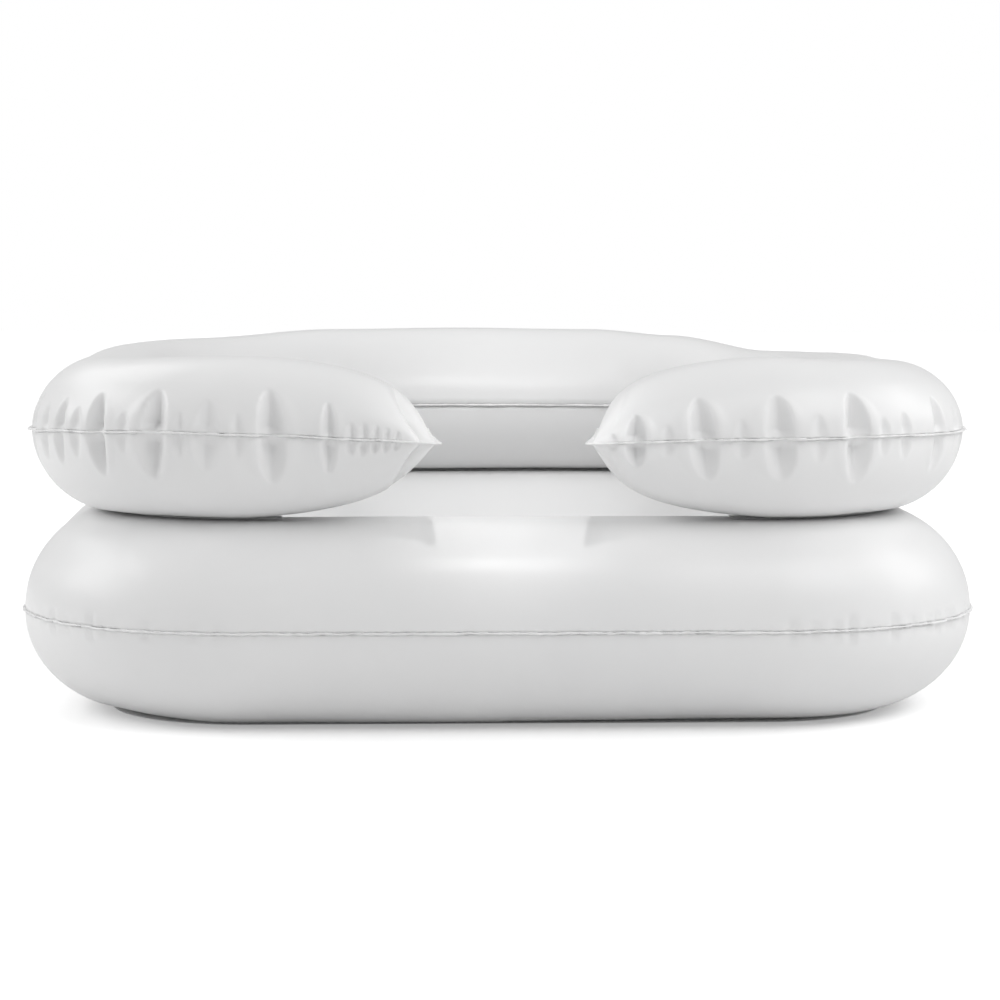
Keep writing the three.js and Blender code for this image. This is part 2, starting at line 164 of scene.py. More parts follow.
def maths(tree, operation, first, second):
    return node(tree, "Math", {0: first, 1: second}, operation=operation).outputs[0]


def blend(tree, factor, first, second):
    # a colour between two others
    inputs = {"Factor": factor, 6: first, 7: second}
    return node(tree, "Mix", inputs, data_type="RGBA").outputs[2]


def mapRange(tree, value, inputs, interpolation="LINEAR"):
    made = node(tree, "MapRange", {"Value": value, **inputs}, interpolation_type=interpolation)
    return made.outputs["Result"]


def newGroup(name, inputs):
    # a node group, and the outputs inside it of its own inputs: colours and plain numbers
    group = bpy.data.node_groups.new(name, "ShaderNodeTree")
    for socketName, value in inputs.items():
        kind = "NodeSocketColor" if isinstance(value, tuple) else "NodeSocketFloat"
        socket = group.interface.new_socket(socketName, in_out="INPUT", socket_type=kind)
        socket.default_value = value
    return group, group.nodes.new("NodeGroupInput").outputs


def closeGroup(group, outputs):
    for name in outputs:
        kind = "NodeSocketColor" if name == "Color" else "NodeSocketFloat"
        group.interface.new_socket(name, in_out="OUTPUT", socket_type=kind)
    feed(group, group.nodes.new("NodeGroupOutput"), outputs)
    return group


def newMaterial(name):
    material = bpy.data.materials.new(name)
    material.use_nodes = True
    return material, material.node_tree, material.node_tree.nodes["Principled BSDF"]


def makeCreaseGroup():
    # soft handling creases and fine film grain, as a height, with a faint change of colour
    group, given = newGroup(
        "filmCreases",
        {
            "Crease Scale": 18.0,
            "Crease Height": 1.0,
            "Grain Scale": 900.0,
            "Grain Height": 0.05,
            "Tint": (0.8, 0.82, 0.84, 1),
            "Base": (0.9, 0.9, 0.9, 1),
        },
    )
    where = node(group, "TexCoord").outputs["Object"]
    warp = node(group, "TexNoise", {"Vector": where, "Scale": 5, "Detail": 2})
    bend = node(
        group, "Mix", {"Factor": 0.12, 4: where, 5: warp.outputs["Color"]}, data_type="VECTOR"
    )
    creases = node(
        group,
        "TexVoronoi",
        {"Vector": bend.outputs[1], "Scale": given["Crease Scale"]},
        feature="DISTANCE_TO_EDGE",
    )
    soft = mapRange(group, creases.outputs["Distance"], {"From Max": 0.22}, "SMOOTHERSTEP")
    presence = node(group, "TexNoise", {"Vector": where, "Scale": 7})
    pick = mapRange(
        group, presence.outputs["Fac"], {"From Min": 0.52, "From Max": 0.7}, "SMOOTHSTEP"
    )
    shown = maths(group, "MULTIPLY", maths(group, "SUBTRACT", 1.0, soft), pick)
    dips = maths(group, "MULTIPLY", shown, given["Crease Height"])
    grain = node(
        group, "TexNoise", {"Vector": where, "Scale": given["Grain Scale"], "Detail": 3}
    )
    bumps = maths(group, "MULTIPLY", grain.outputs["Fac"], given["Grain Height"])
    clouds = node(group, "TexNoise", {"Vector": where, "Scale": 11, "Detail": 4}).outputs["Fac"]
    patches = mapRange(group, clouds, {"From Min": 0.4, "From Max": 0.75, "To Max": 0.35})
    return closeGroup(
        group,
        {
            "Height": maths(group, "SUBTRACT", bumps, dips),
            "Color": blend(group, patches, given["Base"], given["Tint"]),
            "Roughness Shift": mapRange(group, clouds, {"To Min": -0.04, "To Max": 0.06}),
        },
    )


def makeWeldGroup():
    # the pressed beads of a high-frequency weld, shown where the mesh says how far it is welded; the
    # gaps between beads there are painted lighter, a painted glow of light through the thin welded
    # film
    group, given = newGroup(
        "weldBeads",
        {
            "Bead Scale": 260.0,
            "Bead Height": 1.0,
            "Height": 0.0,
            "Base": (0.9, 0.9, 0.9, 1),
            "Weld Glow Colour": (0.8, 0.8, 0.8, 1),
        },
    )
    where = node(group, "TexCoord").outputs["Object"]
    weld = node(group, "Attribute", attribute_name="weld").outputs["Fac"]
    beads = node(
        group,
        "TexVoronoi",
        {"Vector": where, "Scale": given["Bead Scale"], "Smoothness": 0.6},
        feature="SMOOTH_F1",
    ).outputs["Distance"]
    raised = maths(group, "MULTIPLY", maths(group, "MULTIPLY", beads, given["Bead Height"]), weld)
    # the bead gaps take the lighter weld colour: painted glow of light through the thin film at the
    # weld
    gaps = mapRange(group, beads, {"From Min": 0.2, "From Max": 0.75})
    welded = maths(group, "MULTIPLY", gaps, weld)
    return closeGroup(
        group,
        {
            "Height": maths(group, "ADD", raised, given["Height"]),
            "Color": blend(group, welded, given["Base"], given["Weld Glow Colour"]),
        },
    )


filmFinish = {
    "colour": (0.87, 0.87, 0.87, 1),
    "tint": (0.81, 0.815, 0.82, 1),
    # the weld's colour, lighter than the film, is painted glow of light through the thin welded film
    "weldGlowColour": (0.9, 0.9, 0.9, 1),
    "roughness": 0.34,
    "creaseScale": 16.0,
    "creaseHeight": 0.5,
    "grainHeight": 0.04,
    "bump": 0.0006,
    "ior": 1.5,
}


def makeFilmMaterial(name):
    material, tree, shader = newMaterial(name)
    creases = node(
        tree,
        "Group",
        {
            "Crease Scale": filmFinish["creaseScale"],
            "Crease Height": filmFinish["creaseHeight"],
            "Grain Height": filmFinish["grainHeight"],
            "Tint": filmFinish["tint"],
            "Base": filmFinish["colour"],
        },
        node_tree=makeCreaseGroup(),
    ).outputs
    beads = node(
        tree,
        "Group",
        {
            "Height": creases["Height"],
            "Base": creases["Color"],
            "Weld Glow Colour": filmFinish["weldGlowColour"],
        },
        node_tree=makeWeldGroup(),
    ).outputs
    bump = node(
        tree, "Bump", {"Height": beads["Height"], "Distance": filmFinish["bump"], "Strength": 1.0}
    )
    look = {
        "Base Color": beads["Color"],
        "Roughness": maths(tree, "ADD", creases["Roughness Shift"], filmFinish["roughness"]),
        "Normal": bump.outputs["Normal"],
        "IOR": filmFinish["ior"],
    }
    feed(tree, shader, look)
    return material


def makeFittingGroup():
    # moulded soft plastic: fine grain, slow flow marks and faint handling marks
    group, given = newGroup(
        "mouldedGrain",
        {
            "Base": (0.9, 0.9, 0.9, 1),
            "Flow Colour": (0.8, 0.8, 0.8, 1),
            "Grain Scale": 2400.0,
            "Grain Height": 0.3,
            "Roughness": 0.35,
        },
    )
    where = node(group, "TexCoord").outputs["Object"]
    grain = node(
        group, "TexNoise", {"Vector": where, "Scale": given["Grain Scale"], "Detail": 2}
    )
    flow = node(
        group, "TexNoise", {"Vector": where, "Scale": 90, "Detail": 3, "Distortion": 1.5}
    ).outputs["Fac"]
    marks = node(group, "TexNoise", {"Vector": where, "Scale": 330, "Detail": 4})
    bumps = maths(group, "MULTIPLY", grain.outputs["Fac"], given["Grain Height"])
    streaks = mapRange(group, flow, {"From Min": 0.35, "From Max": 0.75})
    worn = mapRange(
        group, marks.outputs["Fac"], {"From Min": 0.45, "From Max": 0.8, "To Max": 0.16}
    )
    return closeGroup(
        group,
        {
            "Color": blend(group, streaks, given["Base"], given["Flow Colour"]),
            "Roughness": maths(group, "ADD", worn, given["Roughness"]),
            "Height": maths(group, "ADD", bumps, maths(group, "MULTIPLY", flow, 0.35)),
        },
    )


clearFinish = {
    "colour": (0.84, 0.87, 0.88, 1),
    "flowColour": (0.74, 0.78, 0.8, 1),
    "grainHeight": 0.15,
    "roughness": 0.2,
    "transmission": 0.45,
    "bump": 0.00006,
    "ior": 1.52,
}

softFinish = {
    "colour": (0.8, 0.81, 0.81, 1),
    "flowColour": (0.72, 0.73, 0.735, 1),
    "grainHeight": 0.5,
    "roughness": 0.38,
    "transmission": 0.0,
    "bump": 0.00008,
    "ior": 1.52,
}


def makeFittingMaterial(name, group, finish):
    material, tree, shader = newMaterial(name)
    grain = node(
        tree,
        "Group",
        {
            "Base": finish["colour"],
            "Flow Colour": finish["flowColour"],
            "Grain Height": finish["grainHeight"],
            "Roughness": finish["roughness"],
        },
        node_tree=group,
    ).outputs
    bump = node(tree, "Bump", {"Height": grain["Height"], "Distance": finish["bump"]})
    look = {
        "Base Color": grain["Color"],
        "Roughness": grain["Roughness"],
        "Normal": bump.outputs["Normal"],
        "Transmission Weight": finish["transmission"],
        "IOR": finish["ior"],
    }
    feed(tree, shader, look)
    return material


# the tubes' plan

baseRing = {
    "innerFrontCorner": 0.010,
    "innerBackCorner": 0.074,
    "halfWidth": 0.066,
    "halfHeight": 0.062,
    "flange": 0.0025,
    "film": 0.0004,
    "step": 0.0034,
    "crownSoftness": 0.0012,
    "waves": [(21, 0.11, 0.0011), (31, 0.035, 0.00025)],  # seed, knot spacing, height
    "outerStrip": (41, 0.0007),  # seed, height of its waves
    "innerStrip": (51, 0.0003),
    "outerStripStep": 0.0014,
    "innerStripStep": 0.003,
}

collar = {
    "innerFrontCorner": 0.032,
    "innerBackCorner": 0.100,
    "halfWidth": 0.052,
    "halfHeight": 0.049,
    "flange": 0.0035,
    "film": 0.0004,
    "step": 0.0027,
    "armStep": 0.0015,
    "endStep": 0.0009,
    "endReach": 0.042,  # how far from the gap each of these steps reaches
    "armReach": 0.285,
    "pressed": 0.0018,  # one row of points in the flat weld at an arm's end
    "crownSoftness": 0.0012,
    "gap": 0.084,
    "taper": 0.112,
    "swellLength": 0.045,
    "swellPower": 0.6,
    "endFlare": 0.013,
    "endPull": 0.0015,
    "endSlant": 0.004,
    "rightSlant": 0.019,
    "waves": [(61, 0.09, 0.0008), (71, 0.03, 0.0003)],
    "waveFade": 0.05,
    "outerStrip": (81, 0.0004),
    "innerStrip": (91, 0.0003),
    "endStrip": (95, 0.0),
}

armEnd = {
    "foldAtSeam": 0.012,  # from the flat end
    "foldAtCrown": 0.026,
    "recover": 0.0020,
    "leftDepth": 0.0125,
    "rightDepth": 0.0012,
    "bend": 1.3,  # of the fold's line over the section
    "approach": 2.2,  # how late the film dips towards the fold
    "atSeam": 0.3,  # share of its depth at the seam, and between seam and crown
    "between": 0.8,
}

seamGap = 0.0002  # half the gap between two films at their weld
crownShare = math.sin(math.radians(75))

section = {
    "fine": 30,  # points over a film, near the outer seam and beyond it
    "coarse": 30,
    "edge": 42,  # degrees
    "sink": 0.9,  # how far a fold also presses the film down
    "weldReach": 0.0012,
}


def planOf(halfWidth, front, back, frontRadius, backRadius):
    # straights and arcs anticlockwise from the front middle: start point, heading, length, radius
    quarter = math.pi / 2
    straight = halfWidth - frontRadius
    side = back - backRadius - front - frontRadius
    return [
        ((0, front), 0.0, straight, 0),
        ((straight, front), 0.0, quarter * frontRadius, frontRadius),
        ((halfWidth, front + frontRadius), 90.0, side, 0),
        ((halfWidth, back - backRadius), 90.0, quarter * backRadius, backRadius),
        ((halfWidth - backRadius, back), 180.0, 2 * (halfWidth - backRadius), 0),
        ((backRadius - halfWidth, back), 180.0, quarter * backRadius, backRadius),
        ((-halfWidth, back - backRadius), 270.0, side, 0),
        ((-halfWidth, front + frontRadius), 270.0, quarter * frontRadius, frontRadius),
        ((-straight, front), 360.0, straight, 0),
    ]


def planLength(plan):
    return sum(piece[2] for piece in plan)


def alongPlan(plan, distances):
    # points and outward directions at these distances from the front middle, and 1 where it curves
    points = np.zeros((len(distances), 2))
    outs = np.zeros((len(distances), 2))
    curved = np.zeros(len(distances))
    done = 0.0
    for k, ((x, y), heading, length, radius) in enumerate(plan):
        last = k == len(plan) - 1
        here = (distances >= done) & ((distances < done + length) | last)
        reach = distances[here] - done
        start = math.radians(heading)
        if radius:
            turn = start + reach / radius
            centreX = x - radius * math.sin(start)
            centreY = y + radius * math.cos(start)
            points[here, 0] = centreX + radius * np.sin(turn)
            points[here, 1] = centreY - radius * np.cos(turn)
            outs[here, 0] = np.sin(turn)
            outs[here, 1] = -np.cos(turn)
            curved[here] = 1
        else:
            points[here, 0] = x + reach * math.cos(start)
            points[here, 1] = y + reach * math.sin(start)
            outs[here, 0] = math.sin(start)
            outs[here, 1] = -math.cos(start)
        done += length
    return points, outs, curved


def seamPlan(ring, halfWidth, front, back):
    # the line of a tube's outer seam
    across = 2 * ring["halfWidth"]
    corners = ring["innerFrontCorner"] + across, ring["innerBackCorner"] + across
    return planOf(halfWidth, front, back, *corners)


def smoothNoise(values, seed, step):
    # one-dimensional smooth noise between -1 and 1 with a knot at every step
    random = np.random.default_rng(seed)
    knots = random.uniform(-1, 1, int(values.max() / step) + 4)
    where = np.maximum(values, 0) / step
    low = where.astype(int)
    share = where - low
    share = share * share * (3 - 2 * share)
    return knots[low] * (1 - share) + knots[low + 1] * share


def softWaves(ring, along, angles, side):
    # long soft waves of a film that isn't quite even
    total = 0.0
    for seed, step, height in ring["waves"]:
        total = total + height * smoothNoise(along.reshape(-1), seed + side, step)
    return total.reshape(along.shape) * np.sin(angles) ** 0.5


# folds at the outer seam: a lens-shaped dent with a sharp valley, from the seam up and down the film

collarFolds = {
    # distance from the arm's tip along the outer seam, reach up the film, half width, depth, lean
    "left": [
        (0.026, 0.010, 0.0022, 0.0016, 0.1),
        (0.032, 0.012, 0.0024, 0.0019, 0.1),
        (0.0385, 0.013, 0.0026, 0.0021, 0.1),
        (0.0455, 0.014, 0.0030, 0.0025, 0.05),
        (0.053, 0.013, 0.0030, 0.0020, 0.05),
        (0.066, 0.027, 0.0042, 0.0038, 0.0),
        (0.100, 0.033, 0.0080, 0.0062, -0.03),
        (0.120, 0.015, 0.0040, 0.0014, 0.0),
        (0.1385, 0.024, 0.0080, 0.0028, 0.05),
        (0.155, 0.015, 0.0040, 0.0016, 0.0),
        (0.1725, 0.031, 0.0088, 0.0066, 0.05),
        (0.192, 0.014, 0.0040, 0.0014, 0.0),
        (0.213, 0.029, 0.0065, 0.0060, -0.05),
        (0.232, 0.018, 0.0050, 0.0020, 0.0),
        (0.250, 0.024, 0.0055, 0.0038, 0.05),
        (0.272, 0.020, 0.0060, 0.0030, 0.0),
    ],
    "right": [
        (0.0165, 0.012, 0.0028, 0.0014, 0.0),
        (0.0305, 0.026, 0.0062, 0.0068, 0.0),
        (0.050, 0.013, 0.0040, 0.0013, 0.0),
        (0.072, 0.031, 0.0080, 0.0060, -0.1),
        (0.095, 0.014, 0.0045, 0.0015, 0.0),
        (0.118, 0.029, 0.0090, 0.0058, -0.06),
        (0.142, 0.016, 0.0045, 0.0014, 0.0),
        (0.1675, 0.032, 0.0085, 0.0070, -0.05),
        (0.186, 0.013, 0.0040, 0.0018, 0.0),
        (0.204, 0.016, 0.0045, 0.0022, 0.0),
        (0.240, 0.027, 0.0065, 0.0050, 0.05),
    ],
    "strength": 1.5,
    "seamShare": 0.45,  # of its depth that a fold keeps at the weld
    "seamReach": 0.006,
    "cornerSpacing": (0.026, 0.046),
    "straightSpacing": (0.055, 0.095),
    "seed": 11,
    "free": (0.27, 0.28),  # where each arm has its own folds, from its tip
    "size": 0.9,
    "underShare": 0.9,  # reach of a fold on the lower film
}


baseFolds = {
    "cornerSpacing": (0.009, 0.021),
    "straightSpacing": (0.07, 0.13),
    "seed": 5,
    "free": (0.165, 0.15),  # no folds this near the front middle, to its right and its left
    "size": 0.34,
}


scatter = {
    "sizes": (0.55, 1.0),
    "straightShare": 0.6,
    "reach": 0.031,
    "halfWidth": 0.0095,
    "depth": 0.006,
    "lean": 0.1,
}

foldForm = {
    "blunt": 0.004,  # rounds the valley's bottom
    "level": 0.03,
    "power": 0.82,
    "swell": 0.12,  # of the film on both sides of a fold
    "swellAt": 1.5,  # in half widths
    "swellSpread": 0.3,
}


def scatterFolds(plan, start, end, settings):
    # the folds of the sides and the back, where corners fold more than straights
    random = np.random.default_rng(settings["seed"])
    folds = []
    at = start
    while at < end:
        curved = alongPlan(plan, np.array([at]))[2][0]
        share = 1.0 if curved else scatter["straightShare"]
        size = random.uniform(*scatter["sizes"]) * share * settings["size"]
        form = [scatter[key] * size for key in ("reach", "halfWidth", "depth")]
        folds.append((at, *form, random.uniform(-scatter["lean"], scatter["lean"])))
        spacing = settings["cornerSpacing"] if curved else settings["straightSpacing"]
        at += random.uniform(*spacing)
    return folds


def foldDepth(along, rise, folds):
    # along is the distance on the outer seam and rise how far up the film from it
    depth = np.zeros_like(along)
    kept = collarFolds["seamShare"]
    grow = kept + (1 - kept) * np.clip(rise / collarFolds["seamReach"], 0, 1)
    for at, reach, halfWidth, deep, lean in folds:
        near = np.clip(1 - (rise / reach) ** 2, 0, 1)
        width = halfWidth * np.sqrt(near) + 1e-6
        off = np.abs(along - at - lean * rise) / width
        valley = np.clip(1 - np.sqrt(off**2 + foldForm["blunt"]) + foldForm["level"], 0, 1)
        depth += collarFolds["strength"] * deep * near * grow * valley ** foldForm["power"]
        beside = np.exp(-((off - foldForm["swellAt"]) ** 2) / foldForm["swellSpread"])
        depth -= foldForm["swell"] * deep * near * beside
    return depth


def addMesh(name, vertices, faces, weld=None):
    mesh = bpy.data.meshes.new(name)
    mesh.from_pydata([tuple(v) for v in vertices], [], [tuple(f) for f in faces])
    mesh.validate()
    if weld is not None:
        attribute = mesh.attributes.new("weld", "FLOAT", "POINT")
        attribute.data.foreach_set("value", np.asarray(weld, dtype=np.float32))
    mesh.polygons.foreach_set("use_smooth", np.ones(len(mesh.polygons), dtype=bool))
    made = bpy.data.objects.new(name, mesh)
    bpy.context.scene.collection.objects.link(made)
    return made


def gridFaces(rows, columns, wrap):
    i = np.arange(rows if wrap else rows - 1)
    j = np.arange(columns - 1)
    first, second = np.meshgrid(i, j, indexing="ij")
    after = (first + 1) % rows
    a = first * columns + second
    b = first * columns + second + 1
    c = after * columns + second + 1
    d = after * columns + second
    return np.stack([a, b, c, d], axis=-1).reshape(-1, 4)


def joinMeshes(parts):
    # stacks (vertices, faces, weld) parts into one
    vertices, faces, weld, offset = [], [], [], 0
    for partVertices, partFaces, partWeld in parts:
        vertices.append(partVertices)
        faces += [tuple(int(k) + offset for k in face) for face in partFaces]
        weld.append(partWeld)
        offset += len(partVertices)
    return np.concatenate(vertices), faces, np.concatenate(weld)


def sectionAngles():
    # from the outer seam over a film to the inner seam, close together near the outer one
    low = np.linspace(0, section["edge"], section["fine"])
    high = np.linspace(section["edge"], 180, section["coarse"])[1:]
    return np.radians(np.concatenate([low, high]))


def crownClamp(height, limit, softness):
    # levels the crown off where the tube presses on its neighbour
    softness = np.maximum(softness, 1e-5)
    over = (height - limit) / softness
    return height - softness * np.logaddexp(0, over)


def tubeSurface(ring, plan, distances, centreZ, side, shape, folds, wrap, extraDepth, sway):
    # one film as a grid of points: rows along the tube, columns over the section
    points, outs, _ = alongPlan(plan, distances)
    crownLift, seamLift, footLift = swayAt(points, sway)
    angles = sectionAngles()
    halfWidth, halfHeight, back, sideways = shape(distances)
    cos = np.cos(angles)[None, :]
    sin = np.sin(angles)[None, :]
    film = seamGap + ring["film"]
    full = halfHeight / halfHeight.max()
    stretch = crownLift - seamLift if side > 0 else seamLift - footLift
    rise = np.maximum(halfHeight + stretch * full - film, 0.0)[:, None]
    across = halfWidth[:, None] * cos
    along = np.repeat(distances[:, None], len(angles), axis=1)
    reach = np.repeat((angles * ring["halfWidth"])[None, :], len(distances), axis=0)
    depth = foldDepth(along, reach, folds(side))
    depth = depth + extraDepth(along, angles[None, :], side)
    across = across - depth * cos
    up = np.maximum(rise / crownShare * sin - depth * sin * section["sink"], 0.0)
    up = crownClamp(up, rise, ring["crownSoftness"] * rise / rise.max()) + film
    edge = halfWidth[:, None] + ring["flange"]
    share = across / edge
    shift = back[:, None] * (1 - share**2) + sideways[:, None] * (1 - share)
    towards = np.sign(points[:, 0])[:, None]
    seam = points - outs * ring["halfWidth"]
    x = seam[:, 0:1] + outs[:, 0:1] * across + towards * shift
    y = seam[:, 1:2] + outs[:, 1:2] * across
    z = centreZ + seamLift[:, None] + side * up
    grid = np.stack([x, y, z], axis=-1)
    vertices = grid.reshape(-1, 3)
    faces = gridFaces(len(distances), len(angles), wrap)
    if side > 0:
        faces = faces[:, ::-1]
    # how far the weld reaches onto the film: the mask carries the bead bumps and the painted glow of
    # the weld
    weld = np.exp(-reach / section["weldReach"])
    return vertices, faces, weld.reshape(-1), grid


# how a tube that isn't blown up evenly stands: direction from its middle in degrees from the
# right-hand side, then how far its crown, seam and underside lie above the even tube, in mm

collarSway = [
    (0, -7.0, 0.0, 0.0),
    (38, -9.0, 0.0, 0.0),
    (56, 0.5, 0.0, 0.0),
    (72, 4.5, 0.3, 0.0),
    (92, 5.5, 0.5, 0.0),
    (115, 4.0, 0.0, 0.0),
    (140, -1.0, 0.0, 0.0),
    (180, -4.0, -0.5, 0.0),
    (205, -3.0, 0.5, 0.0),
    (215, -2.5, 3.4, 0.0),
    (228, -0.5, 5.4, 0.0),
    (239, 0.0, 4.0, 0.0),
    (250, 0.0, 1.6, 0.0),
    (260, 0.0, 0.0, 0.0),
    (283, 0.0, 0.0, 0.0),
    (304, 0.0, 1.6, 0.0),
    (315, -2.0, 2.3, 0.0),
    (335, -5.0, 0.8, 0.0),
]

baseSway = [
    (0, 0.0, 0.0, 1.0),
    (90, 0.0, 0.0, 0.0),
    (160, 0.0, 0.0, 2.0),
    (185, 0.0, 0.0, 5.0),
    (215, 0.0, 0.0, 3.0),
    (235, 0.0, 0.0, 0.0),
    (270, 0.0, 0.0, 1.0),
    (310, 0.0, 0.0, 2.0),
    (340, 0.0, 0.0, 2.0),
]


def swayAt(points, table):
    # crown, seam and underside lifts in metres at these plan points
    angles = np.degrees(np.arctan2(points[:, 1], points[:, 0])) % 360
    knots = np.array([row[0] for row in table] + [table[0][0] + 360], dtype=float)
    values = np.array([row[1:] for row in table] + [table[0][1:]]) * 0.001
    angles = np.where(angles < knots[0], angles + 360, angles)
    low = np.clip(np.searchsorted(knots, angles, side="right") - 1, 0, len(knots) - 2)
    share = (angles - knots[low]) / (knots[low + 1] - knots[low])
    share = (share * share * (3 - 2 * share))[:, None]
    return (values[low] * (1 - share) + values[low + 1] * share).T


def plainShape(ring):
    def shape(distances):
        ones = np.ones(len(distances))
        return ones * ring["halfWidth"], ones * ring["halfHeight"], ones * 0, ones * 0

    return shape


def armShape(total):
    # the collar's half width and height, and how far its flat ends draw back, along its seam
    first = collar["gap"] / 2 + collar["flange"]

    def swell(length):
        return (1 - np.exp(-length / collar["swellLength"])) ** collar["swellPower"]

    def shape(distances):
        reach = np.clip(np.minimum(distances, total - distances) - first, 0, collar["taper"])
        share = reach / collar["taper"]
        rise = swell(reach) / swell(collar["taper"])
        fade = np.exp(-4 * share) - math.exp(-4) * share
        return (
            collar["halfWidth"] + collar["endFlare"] * fade,
            collar["halfHeight"] * rise,
            collar["endPull"] * fade,
            np.where(distances < total / 2, collar["rightSlant"], collar["endSlant"]) / 2 * fade,
        )

    return shape


weldEdge = {
    "thickness": 0.0006,
    "thicker": 0.0002,
    "thicknessStep": 0.0032,
    "share": 0.72,  # of the flange's width
    "wider": 0.16,
    "widthStep": 0.006,
    "flatShare": 0.15,  # left of the width where the strip doesn't wave
    "liftSteps": (0.011, 0.004),
    "grip": 0.0022,  # how far it reaches into the seam, halved
    "fade": 0.02,  # evens it out where a closed strip begins and ends
}


def weldStrip(ring, line, outs, centreZ, outward, wrap, seed, wave):
    # the pressed edge where two films are fused: a thin strip that stands out of the seam
    steps = np.concatenate([[0], np.cumsum(np.linalg.norm(np.diff(line, axis=0), axis=1))])
    even = ring["flange"] * weldEdge["share"]
    thick = weldEdge["thicker"] * smoothNoise(steps, seed, weldEdge["thicknessStep"])
    wider = ring["flange"] * weldEdge["wider"] * smoothNoise(steps, seed + 1, weldEdge["widthStep"])
    slow, quick = (smoothNoise(steps, seed + 2 + k, weldEdge["liftSteps"][k]) for k in range(2))
    lift = wave * (0.6 * slow + 0.4 * quick)
    fade = np.clip(np.minimum(steps, steps[-1] - steps) / weldEdge["fade"], 0, 1) if wrap else 1.0
    thick, lift = weldEdge["thickness"] + thick * fade, lift * fade
    narrow = 1.0 if wave else weldEdge["flatShare"]
    width = even + ((even + wider) * narrow - even) * fade
    section = [(-0.5, 1), (0.55, 1), (0.9, 0.7), (1.0, 0), (0.9, -0.7), (0.55, -1), (-0.5, -1)]
    loops = []
    for a, h in section:
        reach = np.where(a < 0, a * weldEdge["grip"], a * width) * outward
        loops.append(
            np.stack(
                [
                    line[:, 0] + outs[:, 0] * reach,
                    line[:, 1] + outs[:, 1] * reach,
                    centreZ + h * thick + lift * max(a, 0.0),
                ],
                axis=-1,
            )
        )
    grid = np.stack(loops, axis=1)
    if outward < 0:
        grid = grid[:, ::-1]
    rows, columns = grid.shape[:2]
    faces = []
    for i in range(rows if wrap else rows - 1):
        after = (i + 1) % rows
        for j in range(columns):
            k = (j + 1) % columns
            faces.append((i * columns + j, after * columns + j, after * columns + k, i * columns + k))
    if not wrap:
        faces.append(tuple(range(columns)))
        faces.append(tuple((rows - 1) * columns + k for k in reversed(range(columns))))
    # the whole strip counts as weld, so its bead gaps take the painted glow colour
    return grid.reshape(-1, 3), faces, np.ones(rows * columns)


def dropLoose(mesh):
    work = bmesh.new()
    work.from_mesh(mesh)
    loose = [v for v in work.verts if not v.link_faces]
    bmesh.ops.delete(work, geom=loose, context="VERTS")
    work.to_mesh(mesh)
    work.free()


def solidify(target, thickness):
    dropLoose(target.data)
    modifier = target.modifiers.new("film", "SOLIDIFY")
    modifier.thickness = thickness
    modifier.offset = -1
    applyModifiers(target)


def applyModifiers(target):
    bpy.context.view_layer.update()
    evaluated = target.evaluated_get(bpy.context.evaluated_depsgraph_get())
    mesh = bpy.data.meshes.new_from_object(evaluated)
    target.modifiers.clear()
    old = target.data
    target.data = mesh
    bpy.data.meshes.remove(old)
    mesh.name = target.name


def giveHome(target, slot, material, body, *nodeNames):
    target.data.materials.clear()
    target.data.materials.append(material)
    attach(target, body)
    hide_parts(*nodeNames)


def appendStrips(film, strips):
    # adds closed weld strips to a film that already has its thickness
    mesh = film.data
    own = np.zeros(len(mesh.vertices) * 3, dtype=np.float32)
    mesh.vertices.foreach_get("co", own)
    faces = [tuple(p.vertices) for p in mesh.polygons]
    weld = np.zeros(len(mesh.vertices), dtype=np.float32)
    if "weld" in mesh.attributes:
        mesh.attributes["weld"].data.foreach_get("value", weld)
    vertices, faces, weld = joinMeshes([(own.reshape(-1, 3), faces, weld), *strips])
    name = film.name
    bpy.data.objects.remove(film)
    bpy.data.meshes.remove(mesh)
    return addMesh(name, vertices, faces, weld)


# valves: every size in millimetres, along the valve's own axis from the film's face outwards

valve = {
    "bore": 4.0,
    "stemRadius": 6.0,
    "lipRadius": 7.4,
    "beadRadius": 7.0,
    "foot": -8.0,
    "lipTop": -7.0,
    "beadLow": 2.6,
    "rim": 3.6,
    "flangeBore": 6.3,
    "flangeRadius": 11.8,
    "flangeLow": 0.3,
    "flangeTop": 1.3,
    "neckRadius": 8.6,
    "neckTop": 2.3,
    "capUnder": 3.9,
    "capTop": 5.5,
    "capRadius": 7.6,
    "plugTop": 3.8,
    "plugFoot": 3.1,
    "plugEnd": -0.6,
    "hingeReach": 11.0,
    "hingeHeight": 3.75,
    "strapWidth": 4.0,
    "strapThickness": 1.0,
    "tabReach": 3.0,
    "flapRadius": 5.0,
    "flapTop": -8.3,
    "flapThickness": 0.5,
    "flapTail": 5.6,
    "holeRadius": 8.2,
    "seatRadius": 12.6,
    "blendRadius": 24.0,
    "seatDepth": 12.0,  # how far from the seat's plane a film still belongs to it
    "turns": 72,
}

mm = 0.001


def jointNamed(name):
    return next(j for j in frame["joints"] if j["name"] == name)


def valveSeat(name):
    # where a valve stands: its origin on the film, its side direction and its way out
    out = Vector(jointNamed(name + "_valve_pull")["axis"]).normalized()
    hinge = Vector(jointNamed(name + "_cap_hinge")["pos_m"])
    side = Vector((0, out.z, -out.y))
    origin = hinge + side * valve["hingeReach"] * mm - out * valve["hingeHeight"] * mm
    return origin, side, out


def seatCoordinates(points, seat):
    origin, side, out = (np.array(v) for v in seat)
    off = points - origin
    return off[:, 0], off @ side, off @ out


def flattenSeat(points, seat):
    # the film lies flat under a valve's flange
    across, beside, above = seatCoordinates(points, seat)
    away = np.hypot(across, beside) / mm
    share = np.clip((valve["blendRadius"] - away) / (valve["blendRadius"] - valve["seatRadius"]), 0, 1)
    share = share * share * (3 - 2 * share) * (np.abs(above) < valve["seatDepth"] * mm)
    return points - np.outer(above * share, np.array(seat[2]))


